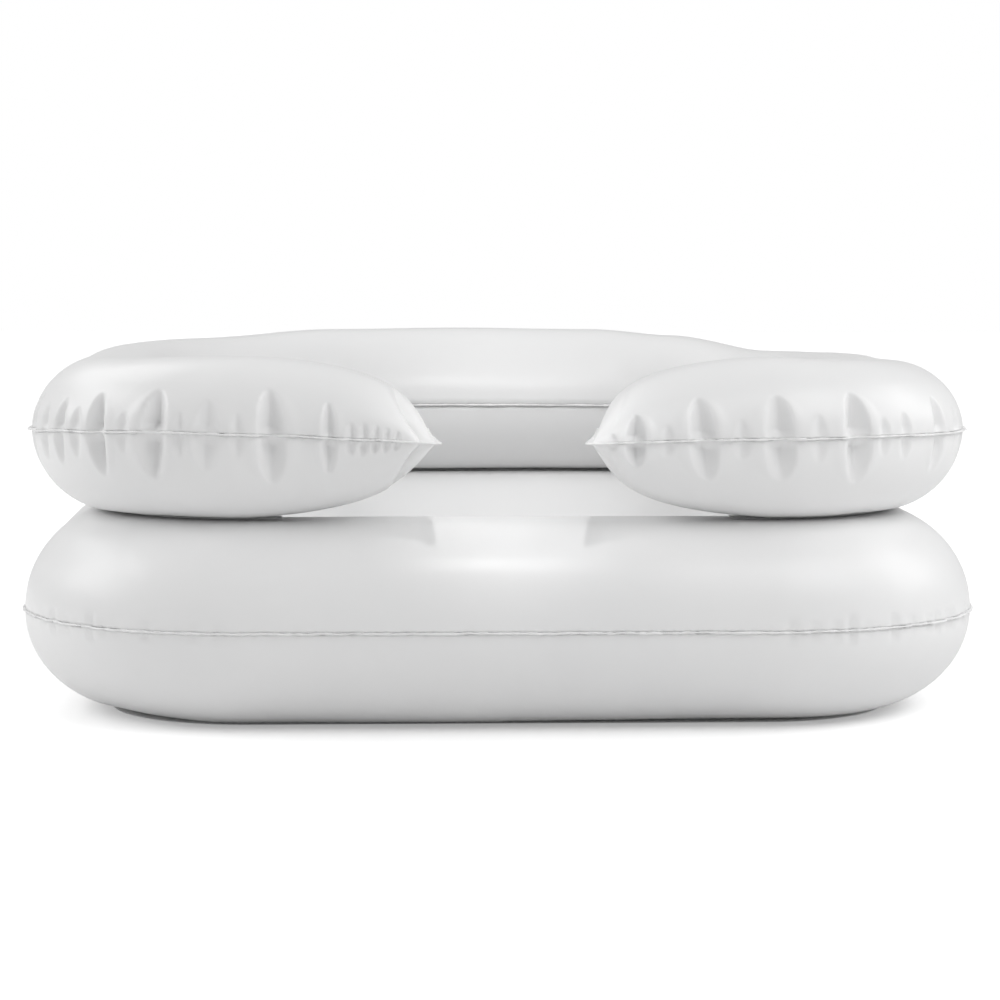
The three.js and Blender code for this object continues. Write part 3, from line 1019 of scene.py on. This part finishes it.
def openSeat(points, faces, seat):
    # a round hole for the stem, its edge drawn onto a true circle
    across, beside, above = seatCoordinates(points, seat)
    away = np.hypot(across, beside) / mm + 1000 * (np.abs(above) > valve["seatDepth"] * mm)
    faces = np.asarray(faces)
    inside = away[faces].mean(axis=1) < valve["holeRadius"]
    edge = np.intersect1d(np.unique(faces[inside]), np.unique(faces[~inside]))
    points = points.copy()
    grow = (valve["holeRadius"] / away[edge] - 1)[:, None]
    flat = np.stack([across[edge], beside[edge] * seat[1].y, beside[edge] * seat[1].z], axis=-1)
    points[edge] += flat * grow
    return points, faces[~inside]


def roundedProfile(corners, radius, closed=True):
    # rounds a lathe profile's corners with short arcs
    count = len(corners)
    made = []
    for k, corner in enumerate(corners):
        here = Vector(corner)
        if not closed and k in (0, count - 1):
            made.append(tuple(here))
            continue
        before = Vector(corners[k - 1]) - here
        after = Vector(corners[(k + 1) % count]) - here
        room = min(radius, before.length * 0.45, after.length * 0.45)
        first = here + before.normalized() * room
        last = here + after.normalized() * room
        for t in (0, 0.3, 0.7, 1):
            made.append(tuple(first * (1 - t) ** 2 + here * 2 * t * (1 - t) + last * t**2))
    return made


def lathe(profile, turns, closed=True):
    # spins a profile of (radius, height); an open one starts and ends on the axis
    vertices, faces = [], []
    loops = []
    for r, z in profile:
        if r < 1e-6:
            loops.append([len(vertices)])
            vertices.append((0, 0, z))
            continue
        loops.append(list(range(len(vertices), len(vertices) + turns)))
        for k in range(turns):
            angle = 2 * math.pi * k / turns
            vertices.append((r * math.cos(angle), r * math.sin(angle), z))
    pairs = list(zip(loops, loops[1:] + (loops[:1] if closed else [])))
    for low, high in pairs if closed else pairs[: len(loops) - 1]:
        for k in range(turns):
            after = (k + 1) % turns
            if len(low) == 1:
                faces.append((low[0], high[after], high[k]))
            elif len(high) == 1:
                faces.append((low[k], low[after], high[0]))
            else:
                faces.append((low[k], low[after], high[after], high[k]))
    return vertices, faces


def roundedBlock(low, high, radius):
    # a block between two corners with rounded edges
    made = bmesh.new()
    bmesh.ops.create_cube(made, size=1)
    size = Vector(high) - Vector(low)
    middle = (Vector(high) + Vector(low)) / 2
    for v in made.verts:
        v.co = Vector([v.co[k] * size[k] + middle[k] for k in range(3)])
    bmesh.ops.bevel(
        made,
        geom=list(made.edges),
        offset=min(radius, min(size) * 0.45),
        segments=3,
        affect="EDGES",
        profile=0.5,
        clamp_overlap=True,
    )
    made.verts.index_update()
    vertices = [tuple(v.co) for v in made.verts]
    faces = [tuple(v.index for v in f.verts) for f in made.faces]
    made.free()
    return vertices, faces


def placeParts(name, parts, place):
    # joins parts given in millimetres in their own frame and moves them to their place
    vertices, faces = [], []
    for partVertices, partFaces in parts:
        offset = len(vertices)
        vertices += [place(Vector(v) * mm) for v in partVertices]
        faces += [tuple(k + offset for k in face) for face in partFaces]
    made = addMesh(name, vertices, faces)
    work = bmesh.new()
    work.from_mesh(made.data)
    bmesh.ops.recalc_face_normals(work, faces=work.faces)
    work.to_mesh(made.data)
    work.free()
    return made


def flangeParts():
    v = valve
    ring = [
        (v["flangeBore"], v["flangeLow"]),
        (v["flangeRadius"], v["flangeLow"]),
        (v["flangeRadius"], v["flangeTop"]),
        (v["neckRadius"], v["flangeTop"] + 0.15),
        (v["neckRadius"], v["neckTop"]),
        (v["flangeBore"], v["neckTop"]),
    ]
    return [lathe(roundedProfile(ring, 0.35), v["turns"])]


def stemParts():
    v = valve
    tube = [
        (v["bore"], v["foot"]),
        (v["lipRadius"], v["foot"]),
        (v["lipRadius"], v["lipTop"]),
        (v["stemRadius"], v["lipTop"]),
        (v["stemRadius"], v["beadLow"]),
        (v["beadRadius"], v["beadLow"]),
        (v["beadRadius"], v["rim"]),
        (v["bore"], v["rim"]),
    ]
    half = v["strapWidth"] / 2
    lug = roundedBlock(
        (-half, -v["hingeReach"] + 0.15, v["beadLow"]), (half, -5.5, v["rim"]), 0.3
    )
    return [lathe(roundedProfile(tube, 0.3), v["turns"]), lug]


def capParts():
    v = valve
    profile = [
        (0, v["plugEnd"]),
        (v["plugFoot"], v["plugEnd"]),
        (v["plugTop"], v["capUnder"]),
        (v["capRadius"], v["capUnder"]),
        (v["capRadius"], v["capTop"]),
        (v["capRadius"] - 1.4, v["capTop"]),
        (v["capRadius"] - 1.9, v["capTop"] - 0.25),
        (0, v["capTop"] - 0.25),
    ]
    half = v["strapWidth"] / 2
    strap = roundedBlock(
        (-half, -v["hingeReach"], v["capUnder"]),
        (half, -v["capRadius"] + 0.8, v["capUnder"] + v["strapThickness"]),
        0.3,
    )
    tab = roundedBlock(
        (-half, v["capRadius"] - 0.8, v["capUnder"]),
        (half, v["capRadius"] + v["tabReach"], v["capUnder"] + 0.8),
        0.3,
    )
    grips = [
        roundedBlock(
            (-half * 0.8, v["capRadius"] + reach, v["capUnder"] + 0.7),
            (half * 0.8, v["capRadius"] + reach + 0.45, v["capUnder"] + 1.0),
            0.12,
        )
        for reach in (0.8, 1.6, 2.4)
    ]
    return [lathe(roundedProfile(profile, 0.3, False), v["turns"], False), strap, tab, *grips]


def flapParts():
    v = valve
    low = v["flapTop"] - v["flapThickness"]
    disc = [(0, low), (v["flapRadius"], low), (v["flapRadius"], v["flapTop"]), (0, v["flapTop"])]
    tail = roundedBlock((-2, -v["flapTail"], low), (2, -v["flapRadius"] + 1, v["flapTop"]), 0.15)
    return [lathe(roundedProfile(disc, 0.15, False), v["turns"], False), tail]


def makeValves(clear, soft):
    for name in ("base", "collar", "head_pad"):
        origin, side, out = valveSeat(name)

        def place(p, origin=origin, side=side, out=out):
            return origin + Vector((p.x, 0, 0)) + side * p.y + out * p.z

        for part, parts, slot, material, body in (
            ("flange", flangeParts(), "clear_fitting", clear, "shell"),
            ("stem", stemParts(), "soft_fitting", soft, name + "_valve_stem"),
            ("cap", capParts(), "soft_fitting", soft, name + "_valve_cap"),
            ("flap", flapParts(), "clear_fitting", clear, name + "_valve_flap"),
        ):
            nodeName = name + "_valve_" + part
            made = placeParts(nodeName + "_fine", parts, place)
            giveHome(made, slot, material, body, nodeName)
    print("valves made")


# the drain: sizes in millimetres from its axis and from the ground

drain = {
    "boreRadius": 10.2,
    "socketRadius": 13.0,
    "flangeRadius": 20.0,
    "low": 0.8,
    "flangeTop": 2.3,
    "rim": 6.8,
    "under": 7.1,
    "capTop": 9.1,
    "capRadius": 14.5,
    "plugTop": 9.9,
    "plugFoot": 9.4,
    "plugEnd": 2.1,
    "hingeReach": 18.0,
    "strapWidth": 8.0,
    "strapThickness": 1.4,
    "tabWidth": 12.0,
    "tabThickness": 2.4,
    "tabTop": 16.1,
    "turns": 88,
}


def makeDrain(clear, soft):
    d = drain
    low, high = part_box("drain_socket")
    centre = Vector(((low.x + high.x) / 2, (low.y + high.y) / 2, 0))
    ring = [
        (d["boreRadius"], d["low"]),
        (d["flangeRadius"], d["low"]),
        (d["flangeRadius"], d["flangeTop"] - 0.5),
        (d["socketRadius"], d["flangeTop"]),
        (d["socketRadius"], d["rim"]),
        (d["boreRadius"], d["rim"]),
    ]
    half = d["strapWidth"] / 2
    lug = roundedBlock(
        (-half, 11.6, d["rim"] - d["strapThickness"]), (half, d["hingeReach"] - 0.15, d["rim"]), 0.4
    )
    beads = [
        # moulded rings on the flange that the weld bites into
        lathe(
            roundedProfile(
                [(r, 1.7), (r + 0.7, 1.7), (r + 0.7, 2.2), (r, 2.2)],
                0.2,
            ),
            d["turns"],
        )
        for r in (15.4, 17.6)
    ]
    plug = [
        (0, d["plugEnd"]),
        (d["plugFoot"], d["plugEnd"]),
        (d["plugTop"], d["under"]),
        (d["capRadius"], d["under"]),
        (d["capRadius"], d["capTop"]),
        (d["capRadius"] - 2.2, d["capTop"]),
        (d["capRadius"] - 2.8, d["capTop"] - 0.35),
        (0, d["capTop"] - 0.35),
    ]
    strap = roundedBlock(
        (-half, 13.6, d["under"]), (half, d["hingeReach"], d["under"] + d["strapThickness"]), 0.4
    )
    halfTab = d["tabThickness"] / 2
    tab = roundedBlock(
        (-d["tabWidth"] / 2, -d["capRadius"] / 2 - halfTab, d["capTop"] - 1),
        (d["tabWidth"] / 2, -d["capRadius"] / 2 + halfTab, d["tabTop"]),
        0.9,
    )

    def place(p):
        return centre + p

    socket = placeParts(
        "drain_socket_fine", [lathe(roundedProfile(ring, 0.5), d["turns"]), lug, *beads], place
    )
    giveHome(socket, "clear_fitting", clear, "shell", "drain_socket")
    stopper = placeParts(
        "drain_stopper_fine",
        [lathe(roundedProfile(plug, 0.4, False), d["turns"], False), strap, tab],
        place,
    )
    giveHome(stopper, "soft_fitting", soft, "drain_stopper", "drain_stopper")
    print("drain made")


def makeBase(material):
    low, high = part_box("base_upper_film")
    centreZ = low.z - seamGap
    flange = baseRing["flange"]
    halfWidth = (high.x - low.x) / 2 - flange
    plan = seamPlan(baseRing, halfWidth, low.y + flange, high.y - flange)
    total = planLength(plan)
    distances = np.arange(int(total / baseRing["step"])) * baseRing["step"]
    free = baseFolds["free"]
    folds = scatterFolds(plan, free[0], total - free[1], baseFolds)
    shape = plainShape(baseRing)
    seat = valveSeat("base")

    def undulate(along, angles, side):
        return softWaves(baseRing, along, angles, side)

    def foldsOn(_):
        return folds

    for name, side in (("base_upper_film", 1), ("base_lower_film", -1)):
        vertices, faces, weld, _ = tubeSurface(
            baseRing, plan, distances, centreZ, side, shape, foldsOn, True, undulate, baseSway
        )
        if side > 0:
            vertices, faces = openSeat(flattenSeat(vertices, seat), faces, seat)
        film = addMesh(name + "_fine", vertices, faces, weld)
        solidify(film, baseRing["film"])
        if side > 0:
            fine = np.arange(0, total, baseRing["outerStripStep"])
            points, outs, _ = alongPlan(plan, fine)
            seam = foldDepth(fine, fine * 0, folds)
            points = points - outs * seam[:, None]
            line, away, _ = alongPlan(plan, np.arange(0, total, baseRing["innerStripStep"]))
            line = line - away * 2 * baseRing["halfWidth"]
            strips = [
                weldStrip(baseRing, points, outs, centreZ, 1, True, *baseRing["outerStrip"]),
                weldStrip(baseRing, line, away, centreZ, -1, True, *baseRing["innerStrip"]),
            ]
            film = appendStrips(film, strips)
        giveHome(film, "film", material, "shell", name)
    print("base ring made")


def makeCollar(material):
    low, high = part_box("collar_upper_film")
    centreZ = low.z - seamGap
    flange = collar["flange"]
    halfWidth = (high.x - low.x) / 2 - flange
    baseLow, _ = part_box("base_upper_film")
    front = baseLow.y + baseRing["flange"] + baseRing["halfWidth"] - collar["halfWidth"]
    plan = seamPlan(collar, halfWidth, front, high.y - flange)
    total = planLength(plan)
    first = collar["gap"] / 2
    endReach, armReach = collar["endReach"], collar["armReach"]
    rows = [
        np.array([0, collar["pressed"]]),
        np.arange(flange, endReach, collar["endStep"]),
        np.arange(endReach, armReach, collar["armStep"]),
    ]
    arm = first + np.concatenate(rows)
    middle = np.arange(first + armReach, total - first - armReach, collar["step"])
    distances = np.concatenate([arm, middle, (total - arm)[::-1]])
    left = [(total - first - at, *rest) for at, *rest in collarFolds["left"]]
    right = [(first + at, *rest) for at, *rest in collarFolds["right"]]
    free = collarFolds["free"]
    rest = scatterFolds(plan, first + free[0], total - first - free[1], collarFolds)
    folds = right + rest + left
    shape = armShape(total)
    seat = valveSeat("collar")

    def foldsOn(side):
        size = 1.0 if side > 0 else collarFolds["underShare"]
        return [(at, reach * size, half, deep, lean * side) for at, reach, half, deep, lean in folds]

    def endCrease(along, angles, side):
        # the sharp fold across an arm just behind its flat end, and soft waves elsewhere
        fromEnd = np.minimum(along, total - along) - first
        high = np.sin(np.minimum(angles, math.pi / 2))
        climb = armEnd["foldAtCrown"] - armEnd["foldAtSeam"]
        line = armEnd["foldAtSeam"] + climb * high ** armEnd["bend"]
        past = (fromEnd - line) / armEnd["recover"]
        before = np.clip(fromEnd / line, 0, 1) ** armEnd["approach"]
        strength = np.where(along > total / 2, armEnd["leftDepth"], armEnd["rightDepth"])
        front = np.minimum(angles, math.pi / 2)
        share = armEnd["atSeam"] * np.cos(front) + armEnd["between"] * np.sin(2 * front)
        crease = strength * share * np.where(past > 0, np.exp(-past), before)
        fade = np.clip(fromEnd / collar["waveFade"], 0, 1)
        return crease + softWaves(collar, along, angles, side) * fade

    for name, side in (("collar_upper_film", 1), ("collar_lower_film", -1)):
        vertices, faces, weld, grid = tubeSurface(
            collar, plan, distances, centreZ, side, shape, foldsOn, False, endCrease, collarSway
        )
        if side > 0:
            vertices, faces = openSeat(flattenSeat(vertices, seat), faces, seat)
        film = addMesh(name + "_fine", vertices, faces, weld)
        solidify(film, collar["film"])
        if side > 0:
            outerLine = grid[:, 0, :2]
            innerLine = grid[:, -1, :2]
            points, outs, _ = alongPlan(plan, distances)
            seamZ = centreZ + swayAt(points, collarSway)[1]
            strips = [
                weldStrip(collar, outerLine, outs, seamZ, 1, False, *collar["outerStrip"]),
                weldStrip(collar, innerLine, outs, seamZ, -1, False, *collar["innerStrip"]),
            ]
            for end in (0, -1):
                endLine = grid[end, :, :2]
                away = np.zeros_like(endLine)
                away[:, 0] = 1.0 if end == 0 else -1.0
                strip = weldStrip(collar, endLine, away, seamZ[end], -1, False, *collar["endStrip"])
                strips.append(strip)
            film = appendStrips(film, strips)
        giveHome(film, "film", material, "shell", name)
    print("collar made")


# the sheet that closes the well's floor, welded under the base ring

floorSheet = {
    "frontCorner": 0.088,
    "backCorner": 0.152,
    "thickness": 0.0005,
    "rings": 44,
    "spokes": 220,
    "spread": 1.2,  # rings lie closer round the drain
    "ripple": 0.0011,
    "well": (0.19, 0.14),  # half sizes of the open floor inside the ring
    "edgeMargin": 0.05,
    "padMargin": (0.55, 0.35),  # shares of the pad: where ripples begin, and grow over
    "restMargin": 0.02,
}


def rippleRoom(x, y, padBox, socketBox):
    # how far the sheet may ripple: nothing under the ring, the pad's middle or the drain
    well, (begin, over) = floorSheet["well"], floorSheet["padMargin"]
    edge = np.minimum(well[0] - np.abs(x), well[1] - np.abs(y))
    free = np.clip(edge / floorSheet["edgeMargin"], 0, 1)
    padX, padY = (padBox[0].x + padBox[1].x) / 2, (padBox[0].y + padBox[1].y) / 2
    padHalf = (padBox[1].x - padBox[0].x) / 2, (padBox[1].y - padBox[0].y) / 2
    away = np.hypot((x - padX) / padHalf[0], (y - padY) / padHalf[1])
    free *= np.clip((away - begin) / over, 0, 1)
    socketX, socketY = (socketBox[0].x + socketBox[1].x) / 2, (socketBox[0].y + socketBox[1].y) / 2
    fromSocket = np.hypot(x - socketX, y - socketY) - (socketBox[1].x - socketBox[0].x) / 2
    return free * np.clip(fromSocket / floorSheet["restMargin"], 0, 1)


def makeFloorSheet(material):
    low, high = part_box("floor_sheet")
    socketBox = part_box("drain_socket")
    centre = np.array([(socketBox[0].x + socketBox[1].x) / 2, (socketBox[0].y + socketBox[1].y) / 2])
    plan = planOf(high.x, low.y, high.y, floorSheet["frontCorner"], floorSheet["backCorner"])
    total = planLength(plan)
    outline = alongPlan(plan, np.arange(floorSheet["spokes"]) * total / floorSheet["spokes"])[0]
    offset = outline - centre
    hole = drain["boreRadius"] * mm * offset / np.linalg.norm(offset, axis=1)[:, None]
    grid = []
    for k in range(floorSheet["rings"]):
        share = (k / (floorSheet["rings"] - 1)) ** floorSheet["spread"]
        grid.append(centre + hole * (1 - share) + offset * share)
    grid = np.stack(grid, axis=1)
    x, y = grid[..., 0], grid[..., 1]
    angle = np.arctan2(y - centre[1], x - centre[0])
    waves = np.sin(angle * 23 + 3 * np.sin(x * 31)) * 0.5 + np.sin(angle * 41 + 9 * x) * 0.3
    waves += np.sin(x * 55 + y * 35) * 0.35
    z = high.z + floorSheet["ripple"] * np.clip(waves + 0.2, 0, 1) * rippleRoom(
        x, y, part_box("head_pad_upper_film"), socketBox
    )
    vertices = np.concatenate([grid, z[..., None]], axis=-1).reshape(-1, 3)
    sheet = addMesh("floor_sheet_fine", vertices, gridFaces(*z.shape, True))
    work = bmesh.new()
    work.from_mesh(sheet.data)
    bmesh.ops.recalc_face_normals(work, faces=work.faces)
    if sum(f.normal.z for f in work.faces) < 0:
        bmesh.ops.reverse_faces(work, faces=work.faces)
    work.to_mesh(sheet.data)
    work.free()
    solidify(sheet, floorSheet["thickness"])
    giveHome(sheet, "film", material, "shell", "floor_sheet")
    print("floor sheet made")


# the head pad: two flat films welded round their edge and blown up

headPad = {
    "corner": 0.040,
    "flange": 0.003,
    "film": 0.0004,
    "cell": 0.0042,
    "lift": 0.004,  # of each flat film's middle before the air goes in
    "jitter": 0.03,
    "strip": (101, 0.0),
    "flatGrow": 1.11,
    "sag": 1.25,  # how much fuller the underside is before the floor flattens it
    "pressSoftness": 0.0012,
    "frames": 18,
    "seed": 3,
}


padCloth = {
    "quality": 8,
    "mass": 0.15,
    "tension_stiffness": 60,
    "compression_stiffness": 20,
    "shear_stiffness": 30,
    "bending_stiffness": 0.3,
    "tension_damping": 20,
    "compression_damping": 20,
    "shear_damping": 20,
    "air_damping": 6,
    "use_pressure": True,
    "uniform_pressure_force": 4.0,
}


def flatPillow(halfWidth, halfDepth, corner, cell):
    # two stacked films that share their rim, bulged a little apart
    made = bmesh.new()
    random = np.random.default_rng(headPad["seed"])
    rings = int(min(halfWidth, halfDepth) / cell)
    plan = planOf(halfWidth, -halfDepth, halfDepth, corner, corner)
    total = planLength(plan)
    around = int(total / cell / 4) * 4
    rim = alongPlan(plan, np.arange(around) * total / around)[0]
    spineX = np.clip(rim[:, 0], halfDepth - halfWidth, halfWidth - halfDepth)
    spine = np.stack([spineX, rim[:, 1] * 0], axis=-1)
    edge = [made.verts.new((x, y, 0)) for x, y in rim]
    for side in (1, -1):
        previous = edge
        for k in range(1, rings):
            share = k / rings
            points = rim * (1 - share) + spine * share
            rise = side * headPad["lift"] * math.sin(share * math.pi / 2)
            jitter = random.uniform(-1, 1, around) * cell * headPad["jitter"]
            loop = [made.verts.new((x, y, rise + j)) for (x, y), j in zip(points, jitter)]
            for i in range(around):
                after = (i + 1) % around
                face = (previous[i], previous[after], loop[after], loop[i])
                made.faces.new(face if side > 0 else face[::-1])
            previous = loop
        middle = made.faces.new(previous if side > 0 else previous[::-1])
        bmesh.ops.triangulate(made, faces=[middle])
    bmesh.ops.recalc_face_normals(made, faces=made.faces)
    return made, around


def makeHeadPad(material):
    low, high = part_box("head_pad_upper_film")
    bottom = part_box("head_pad_lower_film")[0].z
    centre = Vector(((low.x + high.x) / 2, (low.y + high.y) / 2, (bottom + high.z) / 2))
    halfWidth = (high.x - low.x) / 2 - headPad["flange"]
    halfDepth = (high.y - low.y) / 2 - headPad["flange"]
    halfHeight = (high.z - bottom) / 2
    grow = headPad["flatGrow"]
    corner = headPad["corner"] * grow
    work, around = flatPillow(halfWidth * grow, halfDepth * grow, corner, headPad["cell"])
    mesh = bpy.data.meshes.new("headPad")
    work.to_mesh(mesh)
    work.free()
    pad = bpy.data.objects.new("head_pad_fine", mesh)
    bpy.context.scene.collection.objects.link(pad)
    inflate(pad, headPad["frames"])
    print("head pad blown up", len(pad.data.vertices))
    pad = finishPad(pad, around, centre, (halfWidth, halfDepth, halfHeight))
    giveHome(pad, "film", material, "shell", "head_pad_upper_film", "head_pad_lower_film")


def inflate(target, frames):
    modifier = target.modifiers.new("air", "CLOTH")
    for key, value in padCloth.items():
        setattr(modifier.settings, key, value)
    modifier.settings.effector_weights.gravity = 0
    modifier.collision_settings.use_collision = False
    modifier.point_cache.frame_start = 1
    modifier.point_cache.frame_end = frames
    scene = bpy.context.scene
    for step in range(1, frames + 1):
        scene.frame_set(step)
    applyModifiers(target)
    scene.frame_set(1)


def finishPad(pad, around, centre, half):
    # fits the blown-up form to the pad's own box, then adds its valve seat, thickness and weld
    mesh = pad.data
    points = np.zeros(len(mesh.vertices) * 3)
    mesh.vertices.foreach_get("co", points)
    points = points.reshape(-1, 3)
    middle = (points.max(axis=0) + points.min(axis=0)) / 2
    extent = (points.max(axis=0) - points.min(axis=0)) / 2
    points = (points - middle) * (np.array(half) / extent) + np.array(centre)
    under = np.minimum(points[:, 2] - centre.z, 0) * headPad["sag"]
    foot = centre.z - half[2]
    pressed = -crownClamp(-(centre.z + under), -foot, headPad["pressSoftness"])
    points[:, 2] = np.where(under < 0, pressed, points[:, 2])
    mesh.vertices.foreach_set("co", points.reshape(-1))
    rim = points[:around]
    creases = mesh.attributes.new("crease_edge", "FLOAT", "EDGE")
    ends = np.zeros(len(mesh.edges) * 2, dtype=np.int32)
    mesh.edges.foreach_get("vertices", ends)
    onRim = (ends.reshape(-1, 2) < around).all(axis=1)
    creases.data.foreach_set("value", onRim.astype(np.float32))
    pad.modifiers.new("smooth", "SUBSURF").levels = 1
    applyModifiers(pad)
    openPad(pad.data, valveSeat("head_pad"))
    pad.data.polygons.foreach_set("use_smooth", np.ones(len(pad.data.polygons), dtype=bool))
    solidify(pad, headPad["film"])
    fine = np.arange(around * 3) / 3
    knots = np.arange(around + 1)
    line = np.stack([np.interp(fine, knots, np.append(c, c[0])) for c in rim.T], axis=-1)
    tangent = np.roll(line, -4, axis=0) - np.roll(line, 4, axis=0)
    outs = np.stack([tangent[:, 1], -tangent[:, 0]], axis=-1)
    outs /= np.linalg.norm(outs, axis=1)[:, None]
    if np.sum(outs * (line[:, :2] - np.array(centre)[:2])) < 0:
        outs = -outs
        line, outs = line[::-1], outs[::-1]
    strip = weldStrip(headPad, line[:, :2], outs, line[:, 2], 1, True, *headPad["strip"])
    return appendStrips(pad, [strip])


def openPad(mesh, seat):
    # flat under the valve's flange, with a round hole for its stem
    points = np.zeros(len(mesh.vertices) * 3)
    mesh.vertices.foreach_get("co", points)
    points = flattenSeat(points.reshape(-1, 3), seat)
    across, beside, above = seatCoordinates(points, seat)
    away = np.hypot(across, beside) / mm + 1000 * (np.abs(above) > 0.006)
    work = bmesh.new()
    work.from_mesh(mesh)
    work.verts.ensure_lookup_table()
    for vert in work.verts:
        vert.co = points[vert.index]
    inside = [f for f in work.faces if np.mean([away[v.index] for v in f.verts]) < valve["holeRadius"]]
    edge = {v for f in inside for v in f.verts if any(other not in inside for other in v.link_faces)}
    for vert in edge:
        grow = valve["holeRadius"] / away[vert.index] - 1
        vert.co += Vector((across[vert.index], beside[vert.index], 0)) * grow
    bmesh.ops.delete(work, geom=inside, context="FACES")
    work.to_mesh(mesh)
    work.free()


def makeFloor():
    # pale and plain, with a glow that only the camera sees
    half, low = room["floorHalf"], room["floorLow"]
    corners = [(-half, -half, low), (half, -half, low), (half, half, low), (-half, half, low)]
    floor = addMesh("floor", corners, [(0, 1, 2, 3)])
    material, tree, shader = newMaterial("paleFloor")
    where = node(tree, "TexCoord").outputs["Object"]
    away = node(tree, "VectorMath", {0: where}, operation="LENGTH").outputs["Value"]
    glow = mapRange(
        tree,
        away,
        {
            "From Min": room["glowReach"][0],
            "From Max": room["glowReach"][1],
            "To Min": room["floorGlow"][0],
            "To Max": room["floorGlow"][1],
        },
        "SMOOTHSTEP",
    )
    seen = node(tree, "LightPath").outputs["Is Camera Ray"]
    look = {
        "Base Color": (*room["floorColour"], 1),
        "Roughness": room["floorRoughness"],
        "Emission Color": (1, 1, 1, 1),
        "Emission Strength": maths(tree, "MULTIPLY", seen, glow),
    }
    feed(tree, shader, look)
    floor.data.materials.append(material)


def main():
    makeCamera()
    makeRoom()
    film = makeFilmMaterial("whiteFilm")
    fittingGroup = makeFittingGroup()
    clear = makeFittingMaterial("milkyClear", fittingGroup, clearFinish)
    soft = makeFittingMaterial("satinSoft", fittingGroup, softFinish)
    makeBase(film)
    makeCollar(film)
    makeFloorSheet(film)
    makeHeadPad(film)
    makeValves(clear, soft)
    makeDrain(clear, soft)
    strip = frame["nodes"]["tier_weld_strip"]
    strip.data.materials.clear()
    strip.data.materials.append(film)
    makeFloor()


main()
